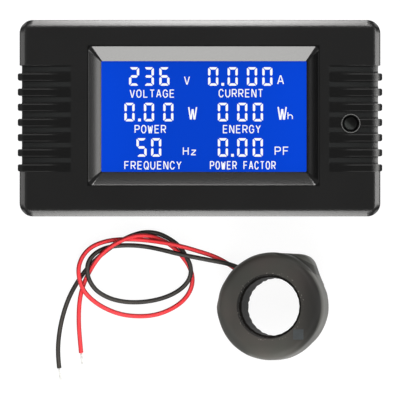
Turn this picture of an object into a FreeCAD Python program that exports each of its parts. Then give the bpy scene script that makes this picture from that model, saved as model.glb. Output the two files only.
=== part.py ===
import FreeCAD, Part
import math
import os

# A panel-mount power meter lying on its back, with its ring-shaped current sensor and
# the sensor's two loose leads beside it.
# Millimetres, +Z out of the meter's face. The origin is the middle of its rear face.

V = FreeCAD.Vector
UP = V(0, 0, 1)

# A plane is found to within this, and a cutter runs this far past the face that it opens
SAME = 1e-6
PAST = 1.0

# Meter case
BODY_W = 90.0
BODY_H = 49.0
BODY_T = 24.4
BODY_CORNER_R = 3.3
BODY_EDGE_R = 1.3
BEZEL_T = 7.0
BEZEL_SIDE_WALL = 2.2
BEZEL_END_WALL = 1.9
FACE_WALL = 2.2
CASE_FIT = 0.15
HOUSING_WALL = 2.4
HOUSING_ENTRY = 3.0
HOUSING_CORNER_R = 2.6
HOUSING_INNER_R = 1.0
HOUSING_EDGE_R = 0.8
FLOOR_T = 2.0

# Display window: its middle, how far it lies from the case's edges, and how wide its slopes are
WINDOW_X = 0.88
WINDOW_Y = 0.62
WINDOW_FROM_END = 16.2
WINDOW_FROM_SIDE = 7.1
WINDOW_CORNER_R = 1.1
VIEW_X = 0.97
VIEW_Y = 0.49
SLOPE_END_W = 3.15
SLOPE_SIDE_W = 3.55
VIEW_CORNER_R = 0.25
WINDOW_DEPTH = 3.4
WINDOW_RIM = 0.8
WINDOW_CUT_PAST = 0.3

# Grip zone at each end of the case
GRIP_TOP_Y = 13.2
GRIP_COUNT = 7
GRIP_PITCH = 3.78
GRIP_RIB_W = 1.75
GRIP_LEN = 12.75
GRIP_RECESS = 0.6
GRIP_PROUD = 0.45
GRIP_START_DEPTH = 0.1
GRIP_END_DEPTH = 0.8
GRIP_FLOOR_W = 1.15
GRIP_RIB_ROUND = 0.4
GRIP_RIB_NOSE = 1.0
GRIP_RIB_ROOT = 0.5

# Push button
BUTTON_FROM_END = 7.425
BUTTON_Y = -1.325
BUTTON_HOLE_R = 2.05
BUTTON_COLLAR_R = 2.5
BUTTON_COLLAR_ROUND = 0.2
BUTTON_STEM_R = 1.6
BUTTON_SUNK = 0.45
BUTTON_EDGE_R = 0.35
BUTTON_FLANGE_R = 2.6
BUTTON_FLANGE_T = 1.5
BUTTON_GAP = 0.1
BUTTON_TRAVEL = 0.25

# Switch under the button
SWITCH_W = 4.5
SWITCH_T = 3.5
SWITCH_CAVITY_W = 3.4
SWITCH_FLOOR = 1.0
SWITCH_CAVITY_T = 1.2
PLUNGER_R = 1.1
PLUNGER_FOOT_R = 1.5
PLUNGER_FOOT_T = 0.45
PLUNGER_FIT = 0.06
DOME_T = 0.15
DOME_R = 1.5
SWITCH_LEG_W = 0.7
SWITCH_LEG_OUT = 0.6
SWITCH_LEG_T = 0.8

# Display stack, from the front down
POLARISER_T = 0.2
GLASS_T = 0.7
DIFFUSER_T = 0.3
GUIDE_T = 2.0
REFLECTOR_T = 0.2
GLASS_END_MARGIN = 3.05
GLASS_SIDE_MARGIN = 2.45
GLASS_LEDGE = 2.0
POLARISER_MARGIN = 1.2
GUIDE_MARGIN = 1.35
TRAY_END_WALL = 2.5
TRAY_SIDE_WALL = 2.1
TRAY_FIT = 0.15
TRAY_FLOOR_T = 1.3
LED_COUNT = 3
LED_PITCH = 8.0
LED_T = 1.4
LED_W = 3.0
LED_DEPTH = 1.5
LED_FIT = 0.1
LCD_PIN_COUNT = 16
LCD_PIN_PITCH = 2.54
LCD_PIN_W = 0.5
LCD_PIN_T = 0.25
LCD_PIN_HOOK = 0.75
LCD_PIN_HOLE = 0.7
LCD_PIN_REACH = 0.5

# Main board
BOARD_T = 1.6
BOARD_FIT = 0.35
BOARD_SCREW_FROM_END = 7.4
BOARD_SCREW_FROM_SIDE = 2.7
BOARD_SCREW_R = 0.9
BOARD_SCREW_LEN = 6.0
BOARD_HEAD_R = 1.6
BOARD_HEAD_T = 1.1
BOARD_BOSS_R = 2.2
NOTCH_FIT = 0.3

# Parts on the rear of the board. FROM_END and FROM_SIDE reach from the board's +X end and its
# nearer side to the part's middle.
CAPACITOR_X = 2.0
CAPACITOR_FROM_SIDE = 6.7
CAPACITOR_W = 13.0
CAPACITOR_D = 6.0
CAPACITOR_OFF_FLOOR = 1.3
FUSE_FROM_END = 17.4
FUSE_FROM_SIDE = 3.1
FUSE_R = 1.6
FUSE_LEN = 8.0
FUSE_LEG_SPAN = 9.4
FUSE_LIFT = 2.0
VARISTOR_X = 15.0
VARISTOR_FROM_SIDE = 9.0
VARISTOR_R = 4.0
VARISTOR_T = 3.4
VARISTOR_LEG_SPAN = 5.0
VARISTOR_LIFT = 5.2
LEG_WIRE_W = 0.6
CAN_AT = (22.5, -1.0)
CAN_R = 4.0
CAN_OFF_FLOOR = 2.8
CRYSTAL_AT = (11.5, 1.0)
CRYSTAL_W = 10.2
CRYSTAL_D = 3.8
CRYSTAL_H = 3.4
CRYSTAL_END_R = 1.8
PART_EDGE_R = 0.4
RESISTOR_FIRST = (-30.0, -8.0)
RESISTOR_PITCH = (5.0, -4.0)
RESISTOR_COLUMNS = 6
RESISTOR_ROWS = 2
RESISTOR_W = 2.0
RESISTOR_D = 1.25
RESISTOR_H = 0.6
CHIP_LIFT = 0.1
CHIP_LEG_W = 0.4
CHIP_LEG_T = 0.2
BRIDGE_X = 25.0
BRIDGE_FROM_SIDE = 10.7
REGULATOR_FROM_END = 8.4
REGULATOR_FROM_SIDE = 10.7
METERING_AT = (-20.0, 4.0)
CONTROLLER_AT = (0.0, 1.5)
MEMORY_AT = (13.0, -9.0)

# Each chip's width, depth, height, pitch of its legs and span over them
CHIP_SIZES = {
    "bridge_rectifier": (4.7, 3.8, 2.4, 2.54, 6.6),
    "voltage_regulator": (6.5, 3.5, 1.7, 2.3, 6.8),
    "metering_chip": (9.9, 3.9, 1.7, 1.27, 6.0),
    "controller_chip": (7.0, 7.0, 1.5, 0.8, 9.0),
    "memory_chip": (4.9, 3.9, 1.7, 1.27, 6.0),
}
CHIP_LEG_COUNT = {
    "bridge_rectifier": 2,
    "voltage_regulator": 3,
    "metering_chip": 8,
    "controller_chip": 8,
    "memory_chip": 4,
}
LEGS_ALL_ROUND = ["controller_chip"]

# Screws that hold the two case halves
CASE_SCREW_FROM_END = 4.65
CASE_SCREW_FROM_SIDE = 4.85
CASE_SCREW_R = 1.2
CASE_SCREW_OFF_FACE = 1.8
CASE_HEAD_R = 2.0
CASE_HEAD_T = 1.5
CASE_HEAD_SUNK = 0.4
CASE_HEAD_FIT = 0.25
CASE_BOSS_R = 2.6
BEZEL_BOSS_R = 2.1
BOSS_DROP = 1.2
SCREW_FIT = 0.05
SLOT_W = 0.5
SLOT_DEPTH = 0.6

# Snap clips on both ends of the rear housing
CLIP_W = 9.0
CLIP_T = 1.2
CLIP_KNUCKLE_R = 0.75
CLIP_PIVOT_Z = 4.2
CLIP_OFF_BEZEL = 2.2
CLIP_TILT_DEG = 7.0
CLIP_CHANNEL_DEPTH = 1.6
CLIP_CHANNEL_ROOF = 0.6
CLIP_SIDE_FIT = 0.25
CLIP_FIT = 0.1
CLIP_PIN_R = 0.45
CLIP_PIN_LEN = 0.8
CLIP_PIN_FIT = 0.05
CLIP_STEP_COUNT = 3
CLIP_STEP_H = 0.9
CLIP_STEP_OUT = 0.4

# Screw terminals
TERMINAL_COUNT = 4
TERMINAL_PITCH = 5.0
TERMINAL_FROM_END = 19.9
BLOCK_D = 8.0
BLOCK_END = 0.3
BLOCK_SUNK = 1.0
BLOCK_FIT = 0.3
BLOCK_ROOF = 1.2
WELL_R = 2.0
WELL_DEPTH = 2.0
LEDGE_T = 0.8
CAGE_W = 3.9
CAGE_D = 4.2
CAGE_WALL = 1.0
CAGE_SIDE_WALL = 0.5
CAGE_WINDOW_TRAVELS = 2
CAGE_FIT = 0.1
CAGE_END_FIT = 0.1
CAVITY_D = 5.8
CAVITY_BACK = 1.0
WIRE_HOLE = 3.0
CONTACT_T = 0.8
CONTACT_W = 2.5
CONTACT_PIN_T = 0.5
CONTACT_PIN_W = 0.8
CONTACT_HOLE_FIT = 0.1
TERMINAL_SCREW_R = 1.3
TERMINAL_HEAD_R = 1.8
TERMINAL_HEAD_T = 1.3
RUNNING_FIT = 0.05
PIN_REACH = 0.9
WIRE_SLOT_FIT = 0.4

# Sensor ring, described on its own axis and then tilted onto the table
RING_R = 13.5
RING_BAND = 6.1
RING_H = 11.5
RING_FRONT_ROUND = 2.2
RING_BACK_ROUND = 1.2
RING_BORE_ROUND = 0.8
RING_WALL = 1.2
RING_X = 18.66
RING_Y = -47.5
RING_LEAN_X = -0.181
RING_LEAN_Y = 0.044
CORE_COVER = 1.0
WINDING_FIT = 0.05
LUMP_AZ_DEG = 55.0
LUMP_BACK = 1.3
LUMP_R = 3.3
LUMP_ROOT = 1.2
LUMP_TOP = 7.2
LUMP_DROP = 1.6
LUMP_ROUND = 1.4
LUMP_SINK = 0.05
FOOT_R = 2.5
FOOT_START_BACK = 1.6
FOOT_END_AHEAD = 0.4
FOOT_START_DEG = 12.0
FOOT_END_DEG = 58.0
FOOT_FLAT = 0.15
JOINT_R = 0.6
JOINT_LEN = 4.6
JOINT_WALL = 0.35
JOINT_SPACING = 2.2
JOINT_LOW_Z = 1.6
JOINT_FIT = 0.05
STICKER_AZ_DEG = -44.0
STICKER_SHIFT = 0.35
STICKER_SIDE = 2.6
STICKER_T = 0.08

# Leads: each route runs from the ring to the cut end
LEAD_R = 0.575
LEAD_BEND = 0.45
STRAND_R = 0.28
STRAND_LEN = 3.0
LEAD_HOLE_FIT = 0.03
LEAD_HOLE_LEN = 4.0
BLACK_ROUTE = [
    (10.3, -37.8, 3.2), (7.6, -36.7, 2.8), (3.3, -35.9, 2.6), (-0.8, -35.1, 3.1),
    (-5.4, -34.2, 3.1), (-9.7, -33.1, 2.2), (-14.1, -32.2, 1.5), (-18.5, -31.9, 1.7),
    (-22.6, -32.2, 1.85), (-25.4, -33.1, 1.9), (-27.4, -34.5, 2.6), (-28.7, -36.5, 3.1),
    (-28.8, -39.3, 3.15), (-27.8, -41.9, 2.8), (-25.9, -44.1, 1.6), (-22.6, -45.8, 0.7),
    (-18.5, -46.6, 0.6), (-14.1, -46.5, 0.6), (-10.0, -45.7, 0.6), (-6.7, -44.4, 0.6),
    (-4.0, -42.5, 0.8), (-2.4, -40.1, 1.7), (-2.3, -37.3, 1.9), (-3.5, -34.8, 1.9),
    (-5.1, -32.3, 1.55), (-7.4, -30.5, 1.1), (-10.5, -28.9, 0.6), (-13.9, -28.5, 0.6),
    (-17.2, -29.3, 0.6), (-20.5, -30.9, 0.6), (-23.6, -33.1, 0.6), (-26.4, -35.4, 0.6),
    (-29.1, -38.1, 0.6), (-31.4, -41.4, 0.6), (-33.4, -45.0, 0.6), (-34.8, -48.9, 0.6),
    (-35.8, -53.0, 0.6), (-36.3, -57.1, 0.6), (-36.3, -60.7, 0.6), (-36.0, -63.4, 0.6),
]
RED_ROUTE = [
    (9.7, -38.4, 1.9), (7.6, -36.9, 1.5), (4.0, -34.9, 1.5), (-0.3, -33.5, 2.2),
    (-4.7, -32.2, 2.8), (-9.0, -31.3, 2.4), (-13.3, -30.7, 1.6), (-17.7, -30.4, 1.7),
    (-21.8, -30.5, 1.85), (-25.2, -31.2, 2.0), (-28.2, -32.6, 2.2), (-30.2, -35.0, 2.6),
    (-31.1, -37.8, 3.1), (-30.8, -40.7, 3.1), (-29.7, -43.6, 3.05), (-27.5, -46.0, 1.8),
    (-24.4, -48.1, 0.8), (-20.3, -49.7, 0.6), (-15.9, -50.2, 0.6), (-11.5, -49.9, 0.6),
    (-7.4, -48.4, 0.6), (-4.1, -46.1, 0.6), (-2.2, -43.2, 0.6), (-1.8, -40.2, 0.6),
    (-2.7, -37.3, 0.6), (-4.6, -34.7, 0.6), (-6.8, -32.4, 0.6), (-9.6, -30.6, 0.7),
    (-12.9, -29.5, 1.3), (-16.3, -29.4, 2.5), (-19.7, -30.5, 3.15), (-23.2, -32.5, 3.15),
    (-25.9, -35.0, 2.4), (-27.9, -38.0, 1.85), (-29.5, -41.2, 1.85), (-30.6, -44.8, 1.6),
    (-31.0, -48.6, 0.7), (-31.0, -52.5, 0.6), (-30.7, -56.3, 0.6), (-30.4, -59.5, 0.6),
]

# Planes and outlines that several pieces share
BEZEL_REAR_Z = BODY_T - BEZEL_T
FACE_REAR_Z = BODY_T - FACE_WALL
HOUSING_W = BODY_W - 2 * (BEZEL_SIDE_WALL + CASE_FIT)
HOUSING_H = BODY_H - 2 * (BEZEL_END_WALL + CASE_FIT)
HOUSING_TOP_Z = BEZEL_REAR_Z + HOUSING_ENTRY
BOSS_JOIN_Z = BEZEL_REAR_Z - BOSS_DROP
CASE_SCREW_X = HOUSING_W / 2 - CASE_SCREW_FROM_END
CASE_SCREW_Y = HOUSING_H / 2 - CASE_SCREW_FROM_SIDE
CASE_SCREW_LEN = FACE_REAR_Z - CASE_SCREW_OFF_FACE - CASE_HEAD_SUNK - CASE_HEAD_T
WINDOW_W = BODY_W - 2 * WINDOW_FROM_END
WINDOW_H = BODY_H - 2 * WINDOW_FROM_SIDE
VIEW_W = WINDOW_W - 2 * SLOPE_END_W
VIEW_H = WINDOW_H - 2 * SLOPE_SIDE_W
GRIP_INNER_X = BODY_W / 2 - GRIP_LEN
BUTTON_X = BODY_W / 2 - BUTTON_FROM_END
INNER_W = HOUSING_W - 2 * HOUSING_WALL
INNER_H = HOUSING_H - 2 * HOUSING_WALL
BOARD_W = INNER_W - 2 * BOARD_FIT
BOARD_H = INNER_H - 2 * BOARD_FIT
BOARD_END_X = BOARD_W / 2
BOARD_SIDE_Y = BOARD_H / 2
BOARD_SCREW_X = BOARD_END_X - BOARD_SCREW_FROM_END
BOARD_SCREW_Y = BOARD_SIDE_Y - BOARD_SCREW_FROM_SIDE
GLASS_W = VIEW_W + 2 * GLASS_END_MARGIN
FRONT_GLASS_H = VIEW_H + 2 * GLASS_SIDE_MARGIN
GUIDE_W = VIEW_W + 2 * GUIDE_MARGIN
GUIDE_H = VIEW_H + 2 * GUIDE_MARGIN
TRAY_W = GUIDE_W + 2 * TRAY_END_WALL
TRAY_H = GUIDE_H + 2 * TRAY_SIDE_WALL

# Display stack, from the front down to the board
LCD_Z = BODY_T - WINDOW_DEPTH
FRONT_GLASS_Z = LCD_Z - POLARISER_T
REAR_GLASS_Z = FRONT_GLASS_Z - GLASS_T
REAR_POLARISER_Z = REAR_GLASS_Z - GLASS_T
DIFFUSER_Z = REAR_POLARISER_Z - POLARISER_T
GUIDE_Z = DIFFUSER_Z - DIFFUSER_T
REFLECTOR_Z = GUIDE_Z - GUIDE_T
TRAY_FLOOR_Z = REFLECTOR_Z - REFLECTOR_T
BOARD_TOP_Z = TRAY_FLOOR_Z - TRAY_FLOOR_T
BOARD_REAR_Z = BOARD_TOP_Z - BOARD_T

# Parts on the rear of the board
CAPACITOR_AT = (CAPACITOR_X, BOARD_SIDE_Y - CAPACITOR_FROM_SIDE)
CAPACITOR_H = BOARD_REAR_Z - FLOOR_T - CAPACITOR_OFF_FLOOR
FUSE_AT = (BOARD_END_X - FUSE_FROM_END, BOARD_SIDE_Y - FUSE_FROM_SIDE)
VARISTOR_AT = (VARISTOR_X, BOARD_SIDE_Y - VARISTOR_FROM_SIDE)
CAN_H = BOARD_REAR_Z - FLOOR_T - CAN_OFF_FLOOR
CHIP_PLACES = {
    "bridge_rectifier": (BRIDGE_X, BOARD_SIDE_Y - BRIDGE_FROM_SIDE),
    "voltage_regulator": (BOARD_END_X - REGULATOR_FROM_END, REGULATOR_FROM_SIDE - BOARD_SIDE_Y),
    "metering_chip": METERING_AT,
    "controller_chip": CONTROLLER_AT,
    "memory_chip": MEMORY_AT,
}

# Clips
HOUSING_HALF = HOUSING_W / 2
CHANNEL_FLOOR_X = HOUSING_HALF - CLIP_CHANNEL_DEPTH
CLIP_PIVOT_X = CHANNEL_FLOOR_X + CLIP_FIT + CLIP_KNUCKLE_R
CLIP_LEN = BEZEL_REAR_Z - CLIP_OFF_BEZEL - CLIP_PIVOT_Z

# Terminals
TERMINAL_X = TERMINAL_FROM_END - BOARD_END_X
BLOCK_W = TERMINAL_COUNT * TERMINAL_PITCH + 2 * BLOCK_END
BLOCK_EDGE_Y = BOARD_SIDE_Y + BOARD_FIT / 2
BLOCK_BACK_Y = BLOCK_EDGE_Y - BLOCK_D
CAVITY_EDGE_Y = BLOCK_EDGE_Y - CAVITY_BACK
TERMINAL_Y = CAVITY_EDGE_Y - CAVITY_D / 2 + CONTACT_PIN_T / 2
LEDGE_Z = BLOCK_SUNK + WELL_DEPTH
CAVITY_Z = LEDGE_Z + LEDGE_T
CAGE_ROOM = BOARD_REAR_Z - BLOCK_ROOF - CAVITY_Z - 2 * (CAGE_WALL + CAGE_END_FIT)
CAGE_TRAVEL = CAGE_ROOM / (1 + CAGE_WINDOW_TRAVELS)
CAGE_WINDOW = CAGE_WINDOW_TRAVELS * CAGE_TRAVEL
CAGE_Z = CAVITY_Z + CAGE_END_FIT + CAGE_TRAVEL
CONTACT_Z = CAGE_Z + CAGE_WALL + CAGE_END_FIT
CAVITY_TOP_Z = CAGE_Z + 2 * CAGE_WALL + CAGE_WINDOW + CAGE_END_FIT
WIRE_Z = (CONTACT_Z + CONTACT_T + CAGE_Z + CAGE_WALL + CAGE_WINDOW) / 2

# Button and its switch
PLUNGER_LIFT = SWITCH_CAVITY_T - PLUNGER_FIT - PLUNGER_FOOT_T
PLUNGER_Z = BOARD_TOP_Z + SWITCH_FLOOR + PLUNGER_LIFT
DOME_RISE = PLUNGER_LIFT - BUTTON_TRAVEL - PLUNGER_FIT
CAP_Z = FACE_REAR_Z - BUTTON_GAP - BUTTON_FLANGE_T

# Sensor, measured from the ring's axis
RING_BORE_R = RING_R - RING_BAND
JOINT_OUT = RING_R - RING_WALL + JOINT_WALL + JOINT_FIT + JOINT_R
LUMP_OUT = JOINT_OUT - LUMP_BACK
LUMP_INNER_R = LUMP_OUT - LUMP_ROOT
FOOT_START_OUT = LUMP_OUT - FOOT_START_BACK
FOOT_END_OUT = LUMP_OUT + FOOT_END_AHEAD
STICKER_OUT = (RING_R + RING_BORE_R) / 2 - STICKER_SHIFT
LEAN = V(RING_LEAN_X, RING_LEAN_Y, math.sqrt(1 - RING_LEAN_X**2 - RING_LEAN_Y**2))


def box(x0, x1, y0, y1, z0, z1):
    return Part.makeBox(x1 - x0, y1 - y0, z1 - z0, V(x0, y0, z0))


def block(cx, cy, w, h, z0, z1):
    return box(cx - w / 2, cx + w / 2, cy - h / 2, cy + h / 2, z0, z1)


def rod(x, y, r, z0, z1):
    return Part.makeCylinder(r, z1 - z0, V(x, y, z0))


def rounded_wire(cx, cy, w, h, r, z):
    """A rectangle with round corners, as one closed wire at height z."""
    a = w / 2 - r
    b = h / 2 - r
    edges = []
    corners = [(a, b, 0), (-a, b, 90), (-a, -b, 180), (a, -b, 270)]
    arcs = []
    for x, y, start in corners:
        points = []
        for turn in (0, 45, 90):
            angle = math.radians(start + turn)
            points.append(V(cx + x + r * math.cos(angle), cy + y + r * math.sin(angle), z))
        arcs.append(points)
    for i, points in enumerate(arcs):
        edges.append(Part.Arc(*points).toShape())
        edges.append(Part.LineSegment(points[2], arcs[(i + 1) % 4][0]).toShape())
    return Part.Wire(edges)


def rounded_block(cx, cy, w, h, r, z0, z1):
    face = Part.Face(rounded_wire(cx, cy, w, h, r, z0))
    return face.extrude(V(0, 0, z1 - z0))


def polygon(points):
    return Part.Face(Part.makePolygon(points + [points[0]]))


def edges_at(shape, z):
    """The edges that lie wholly in the level plane at height z."""
    boxes = [(e, e.BoundBox) for e in shape.Edges]
    return [e for e, b in boxes if max(abs(b.ZMin - z), abs(b.ZMax - z)) < SAME]


def four(x, y):
    return [(sx * x, sy * y) for sx in (-1, 1) for sy in (-1, 1)]


def group(shapes):
    return Part.makeCompound(shapes)


def fused(first, others):
    return first.fuse(others).removeSplitter()


# Case

def grip_groove(side, y_top):
    """A groove between two ribs. It starts abruptly and deepens towards the end of the case."""
    outer_x = BODY_W / 2 + GRIP_PROUD + PAST
    slope = (GRIP_END_DEPTH - GRIP_START_DEPTH) / (BODY_W / 2 - GRIP_RECESS - GRIP_INNER_X)
    mouth = (GRIP_PITCH - GRIP_RIB_W) / 2
    middle = y_top - mouth
    floor = GRIP_FLOOR_W / 2
    sections = []
    for x in (GRIP_INNER_X, outer_x):
        depth = GRIP_START_DEPTH + slope * (x - GRIP_INNER_X)
        corners = [(mouth, 0), (floor, -depth), (-floor, -depth), (-mouth, 0)]
        points = [V(side * x, middle + y, BODY_T + z) for y, z in corners]
        sections.append(Part.makePolygon(points + [points[0]]))
    return Part.makeLoft(sections, True, True)


def grip_rib(side, y):
    """The end of a rib, standing out of the recess in the side of the bezel."""
    inner = BODY_W / 2 - BEZEL_SIDE_WALL + GRIP_RIB_ROOT
    outer = BODY_W / 2 + GRIP_PROUD
    low = BEZEL_REAR_Z + HOUSING_EDGE_R
    nose = BODY_T - GRIP_RIB_NOSE
    profile = [V(inner, 0, low), V(outer, 0, low), V(outer, 0, nose)]
    bend = GRIP_RIB_NOSE * math.sqrt(0.5)
    middle = V(outer - GRIP_RIB_NOSE + bend, 0, nose + bend)
    last = V(outer - GRIP_RIB_NOSE, 0, BODY_T)
    edges = [Part.LineSegment(profile[0], profile[1]).toShape()]
    edges.append(Part.LineSegment(profile[1], profile[2]).toShape())
    edges.append(Part.Arc(profile[2], middle, last).toShape())
    edges.append(Part.LineSegment(last, V(inner, 0, BODY_T)).toShape())
    edges.append(Part.LineSegment(V(inner, 0, BODY_T), profile[0]).toShape())
    face = Part.Face(Part.Wire(edges))
    face.translate(V(0, y - GRIP_RIB_W / 2, 0))
    rib = face.extrude(V(0, GRIP_RIB_W, 0))
    boxes = [(e, e.BoundBox) for e in rib.Edges]
    front = [e for e, b in boxes if abs(b.XMin - outer) < SAME and b.ZLength > GRIP_RIB_NOSE]
    rib = rib.makeFillet(GRIP_RIB_ROUND, front)
    if side < 0:
        rib = rib.mirror(V(0, 0, 0), V(1, 0, 0))
    return rib


def window_cutter():
    """The sloped funnel from the face down to the display."""
    slope_w = (WINDOW_W - VIEW_W) / WINDOW_DEPTH
    slope_h = (WINDOW_H - VIEW_H) / WINDOW_DEPTH
    w = WINDOW_W + WINDOW_CUT_PAST * slope_w
    h = WINDOW_H + WINDOW_CUT_PAST * slope_h
    top = rounded_wire(WINDOW_X, WINDOW_Y, w, h, WINDOW_CORNER_R, BODY_T + WINDOW_CUT_PAST)
    bottom = rounded_wire(VIEW_X, VIEW_Y, VIEW_W, VIEW_H, VIEW_CORNER_R, LCD_Z)
    return Part.makeLoft([bottom, top], True, True)


def front_bezel():
    shell = rounded_block(0, 0, BODY_W, BODY_H, BODY_CORNER_R, BEZEL_REAR_Z, BODY_T)
    shell = shell.makeFillet(BODY_EDGE_R, edges_at(shell, BODY_T))
    inner_w = BODY_W - 2 * BEZEL_SIDE_WALL
    inner_h = BODY_H - 2 * BEZEL_END_WALL
    inner_r = HOUSING_CORNER_R + CASE_FIT
    cavity = rounded_block(0, 0, inner_w, inner_h, inner_r, BEZEL_REAR_Z, FACE_REAR_Z)
    shell = shell.cut(cavity)
    rim_w = WINDOW_W + 2 * WINDOW_RIM
    rim_h = WINDOW_H + 2 * WINDOW_RIM
    added = [rounded_block(WINDOW_X, WINDOW_Y, rim_w, rim_h, WINDOW_CORNER_R, LCD_Z, FACE_REAR_Z)]
    for x, y in four(CASE_SCREW_X, CASE_SCREW_Y):
        added.append(rod(x, y, BEZEL_BOSS_R, BOSS_JOIN_Z, FACE_REAR_Z))
    shell = shell.fuse(added)
    zone = GRIP_COUNT * GRIP_PITCH
    recess_x = BODY_W / 2 - GRIP_RECESS
    cuts = [window_cutter()]
    ribs = []
    for side in (-1, 1):
        ends = sorted((side * recess_x, side * (BODY_W / 2 + PAST)))
        cuts.append(box(*ends, GRIP_TOP_Y - zone, GRIP_TOP_Y, BEZEL_REAR_Z, BODY_T + PAST))
        for i in range(GRIP_COUNT):
            y_top = GRIP_TOP_Y - i * GRIP_PITCH
            cuts.append(grip_groove(side, y_top))
            ribs.append(grip_rib(side, y_top - GRIP_PITCH + GRIP_RIB_W / 2))
    shell = shell.cut(cuts)
    collar = rod(BUTTON_X, BUTTON_Y, BUTTON_COLLAR_R, FACE_REAR_Z, BODY_T)
    collar = collar.makeFillet(BUTTON_COLLAR_ROUND, edges_at(collar, BODY_T))
    shell = shell.fuse(ribs + [collar])
    holes = [rod(BUTTON_X, BUTTON_Y, BUTTON_HOLE_R, FACE_REAR_Z, BODY_T)]
    flare = BUTTON_HOLE_R + BUTTON_COLLAR_ROUND
    mouth = V(BUTTON_X, BUTTON_Y, BODY_T - BUTTON_COLLAR_ROUND)
    holes.append(Part.makeCone(BUTTON_HOLE_R, flare, BUTTON_COLLAR_ROUND, mouth))
    screw_end = CASE_HEAD_SUNK + CASE_HEAD_T + CASE_SCREW_LEN
    for x, y in four(CASE_SCREW_X, CASE_SCREW_Y):
        holes.append(rod(x, y, CASE_SCREW_R + SCREW_FIT, BOSS_JOIN_Z, screw_end + CASE_FIT))
    return shell.cut(holes).removeSplitter()


def clip_channel(side):
    """The pocket in the housing's end wall that a snap clip swings in."""
    half = CLIP_W / 2 + CLIP_SIDE_FIT
    low = CLIP_PIVOT_Z - CLIP_KNUCKLE_R - CLIP_FIT
    ends = sorted((side * CHANNEL_FLOOR_X, side * (HOUSING_HALF + PAST)))
    pocket = box(*ends, -half, half, low, BEZEL_REAR_Z - CLIP_CHANNEL_ROOF)
    reach = half + CLIP_PIN_LEN + CLIP_SIDE_FIT
    start = V(side * CLIP_PIVOT_X, -reach, CLIP_PIVOT_Z)
    bore = Part.makeCylinder(CLIP_PIN_R + CLIP_PIN_FIT, 2 * reach, start, V(0, 1, 0))
    return [pocket, bore]


def rear_housing():
    shell = rounded_block(0, 0, HOUSING_W, HOUSING_H, HOUSING_CORNER_R, 0, HOUSING_TOP_Z)
    shell = shell.makeFillet(HOUSING_EDGE_R, edges_at(shell, 0))
    shell = shell.cut(rounded_block(0, 0, INNER_W, INNER_H, HOUSING_INNER_R, FLOOR_T, HOUSING_TOP_Z))
    root = FLOOR_T / 2
    posts = []
    for x, y in four(CASE_SCREW_X, CASE_SCREW_Y):
        posts.append(rod(x, y, CASE_BOSS_R, root, BOSS_JOIN_Z))
    for x, y in four(BOARD_SCREW_X, BOARD_SCREW_Y):
        posts.append(rod(x, y, BOARD_BOSS_R, root, BOARD_REAR_Z))
    outline = rounded_block(0, 0, HOUSING_W, HOUSING_H, HOUSING_CORNER_R, root, HOUSING_TOP_Z)
    shell = shell.fuse([p.common(outline) for p in posts])
    cuts = []
    for x, y in four(CASE_SCREW_X, CASE_SCREW_Y):
        cuts.append(rod(x, y, CASE_HEAD_R + CASE_HEAD_FIT, 0, CASE_HEAD_SUNK + CASE_HEAD_T))
        cuts.append(rod(x, y, CASE_SCREW_R + 2 * SCREW_FIT, 0, BOSS_JOIN_Z))
    for x, y in four(BOARD_SCREW_X, BOARD_SCREW_Y):
        low = BOARD_TOP_Z - BOARD_SCREW_LEN - CASE_FIT
        cuts.append(rod(x, y, BOARD_SCREW_R + SCREW_FIT, low, BOARD_REAR_Z))
    for side in (-1, 1):
        cuts += clip_channel(side)
    half = BLOCK_W / 2 + BLOCK_FIT
    y0 = BLOCK_BACK_Y - BLOCK_FIT
    cuts.append(box(TERMINAL_X - half, TERMINAL_X + half, y0, INNER_H / 2, 0, FLOOR_T))
    r = (WIRE_HOLE + WIRE_SLOT_FIT) / 2
    for x in terminal_places():
        cuts.append(box(x - r, x + r, INNER_H / 2, HOUSING_H / 2, WIRE_Z - r, WIRE_Z + r))
    return shell.cut(cuts).removeSplitter()


def panel_clip(side):
    """A snap clip, drawn lying in its channel and then swung out to where it rests."""
    half = CLIP_W / 2
    inner = CLIP_PIVOT_X - CLIP_KNUCKLE_R
    outer = inner + CLIP_T
    tip = CLIP_PIVOT_Z + CLIP_LEN
    points = [V(inner, -half, CLIP_PIVOT_Z), V(outer, -half, CLIP_PIVOT_Z)]
    low = tip - CLIP_STEP_COUNT * CLIP_STEP_H
    step = CLIP_STEP_OUT / CLIP_STEP_COUNT
    for i in range(CLIP_STEP_COUNT):
        z = low + i * CLIP_STEP_H
        points.append(V(outer - step * i, -half, z))
        points.append(V(outer - step * (i + 1), -half, z))
    points.append(V(outer - CLIP_STEP_OUT, -half, tip))
    points.append(V(inner, -half, tip))
    arm = polygon(points).extrude(V(0, CLIP_W, 0))
    along = V(0, 1, 0)
    pivot = V(CLIP_PIVOT_X, 0, CLIP_PIVOT_Z)
    knuckle = Part.makeCylinder(CLIP_KNUCKLE_R, CLIP_W, pivot - along * half, along)
    reach = half + CLIP_PIN_LEN
    pin = Part.makeCylinder(CLIP_PIN_R, 2 * reach, pivot - along * reach, along)
    clip = fused(arm, [knuckle, pin])
    clip.rotate(pivot, along, CLIP_TILT_DEG)
    if side < 0:
        clip = clip.mirror(V(0, 0, 0), V(1, 0, 0))
    return clip


def slotted(screw, x, y, r, z, deep):
    """The screw with a driver's slot cut into the face of its head at height z."""
    heights = sorted((z, z + deep))
    return screw.cut(box(x - r, x + r, y - SLOT_W / 2, y + SLOT_W / 2, *heights))


def case_screws():
    screws = []
    top = CASE_HEAD_SUNK + CASE_HEAD_T
    for x, y in four(CASE_SCREW_X, CASE_SCREW_Y):
        head = rod(x, y, CASE_HEAD_R, CASE_HEAD_SUNK, top)
        screw = head.fuse(rod(x, y, CASE_SCREW_R, top, top + CASE_SCREW_LEN))
        screw = slotted(screw, x, y, CASE_HEAD_R, CASE_HEAD_SUNK, SLOT_DEPTH)
        screws.append(screw.removeSplitter())
    return group(screws)


# Board and its screws

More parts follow.
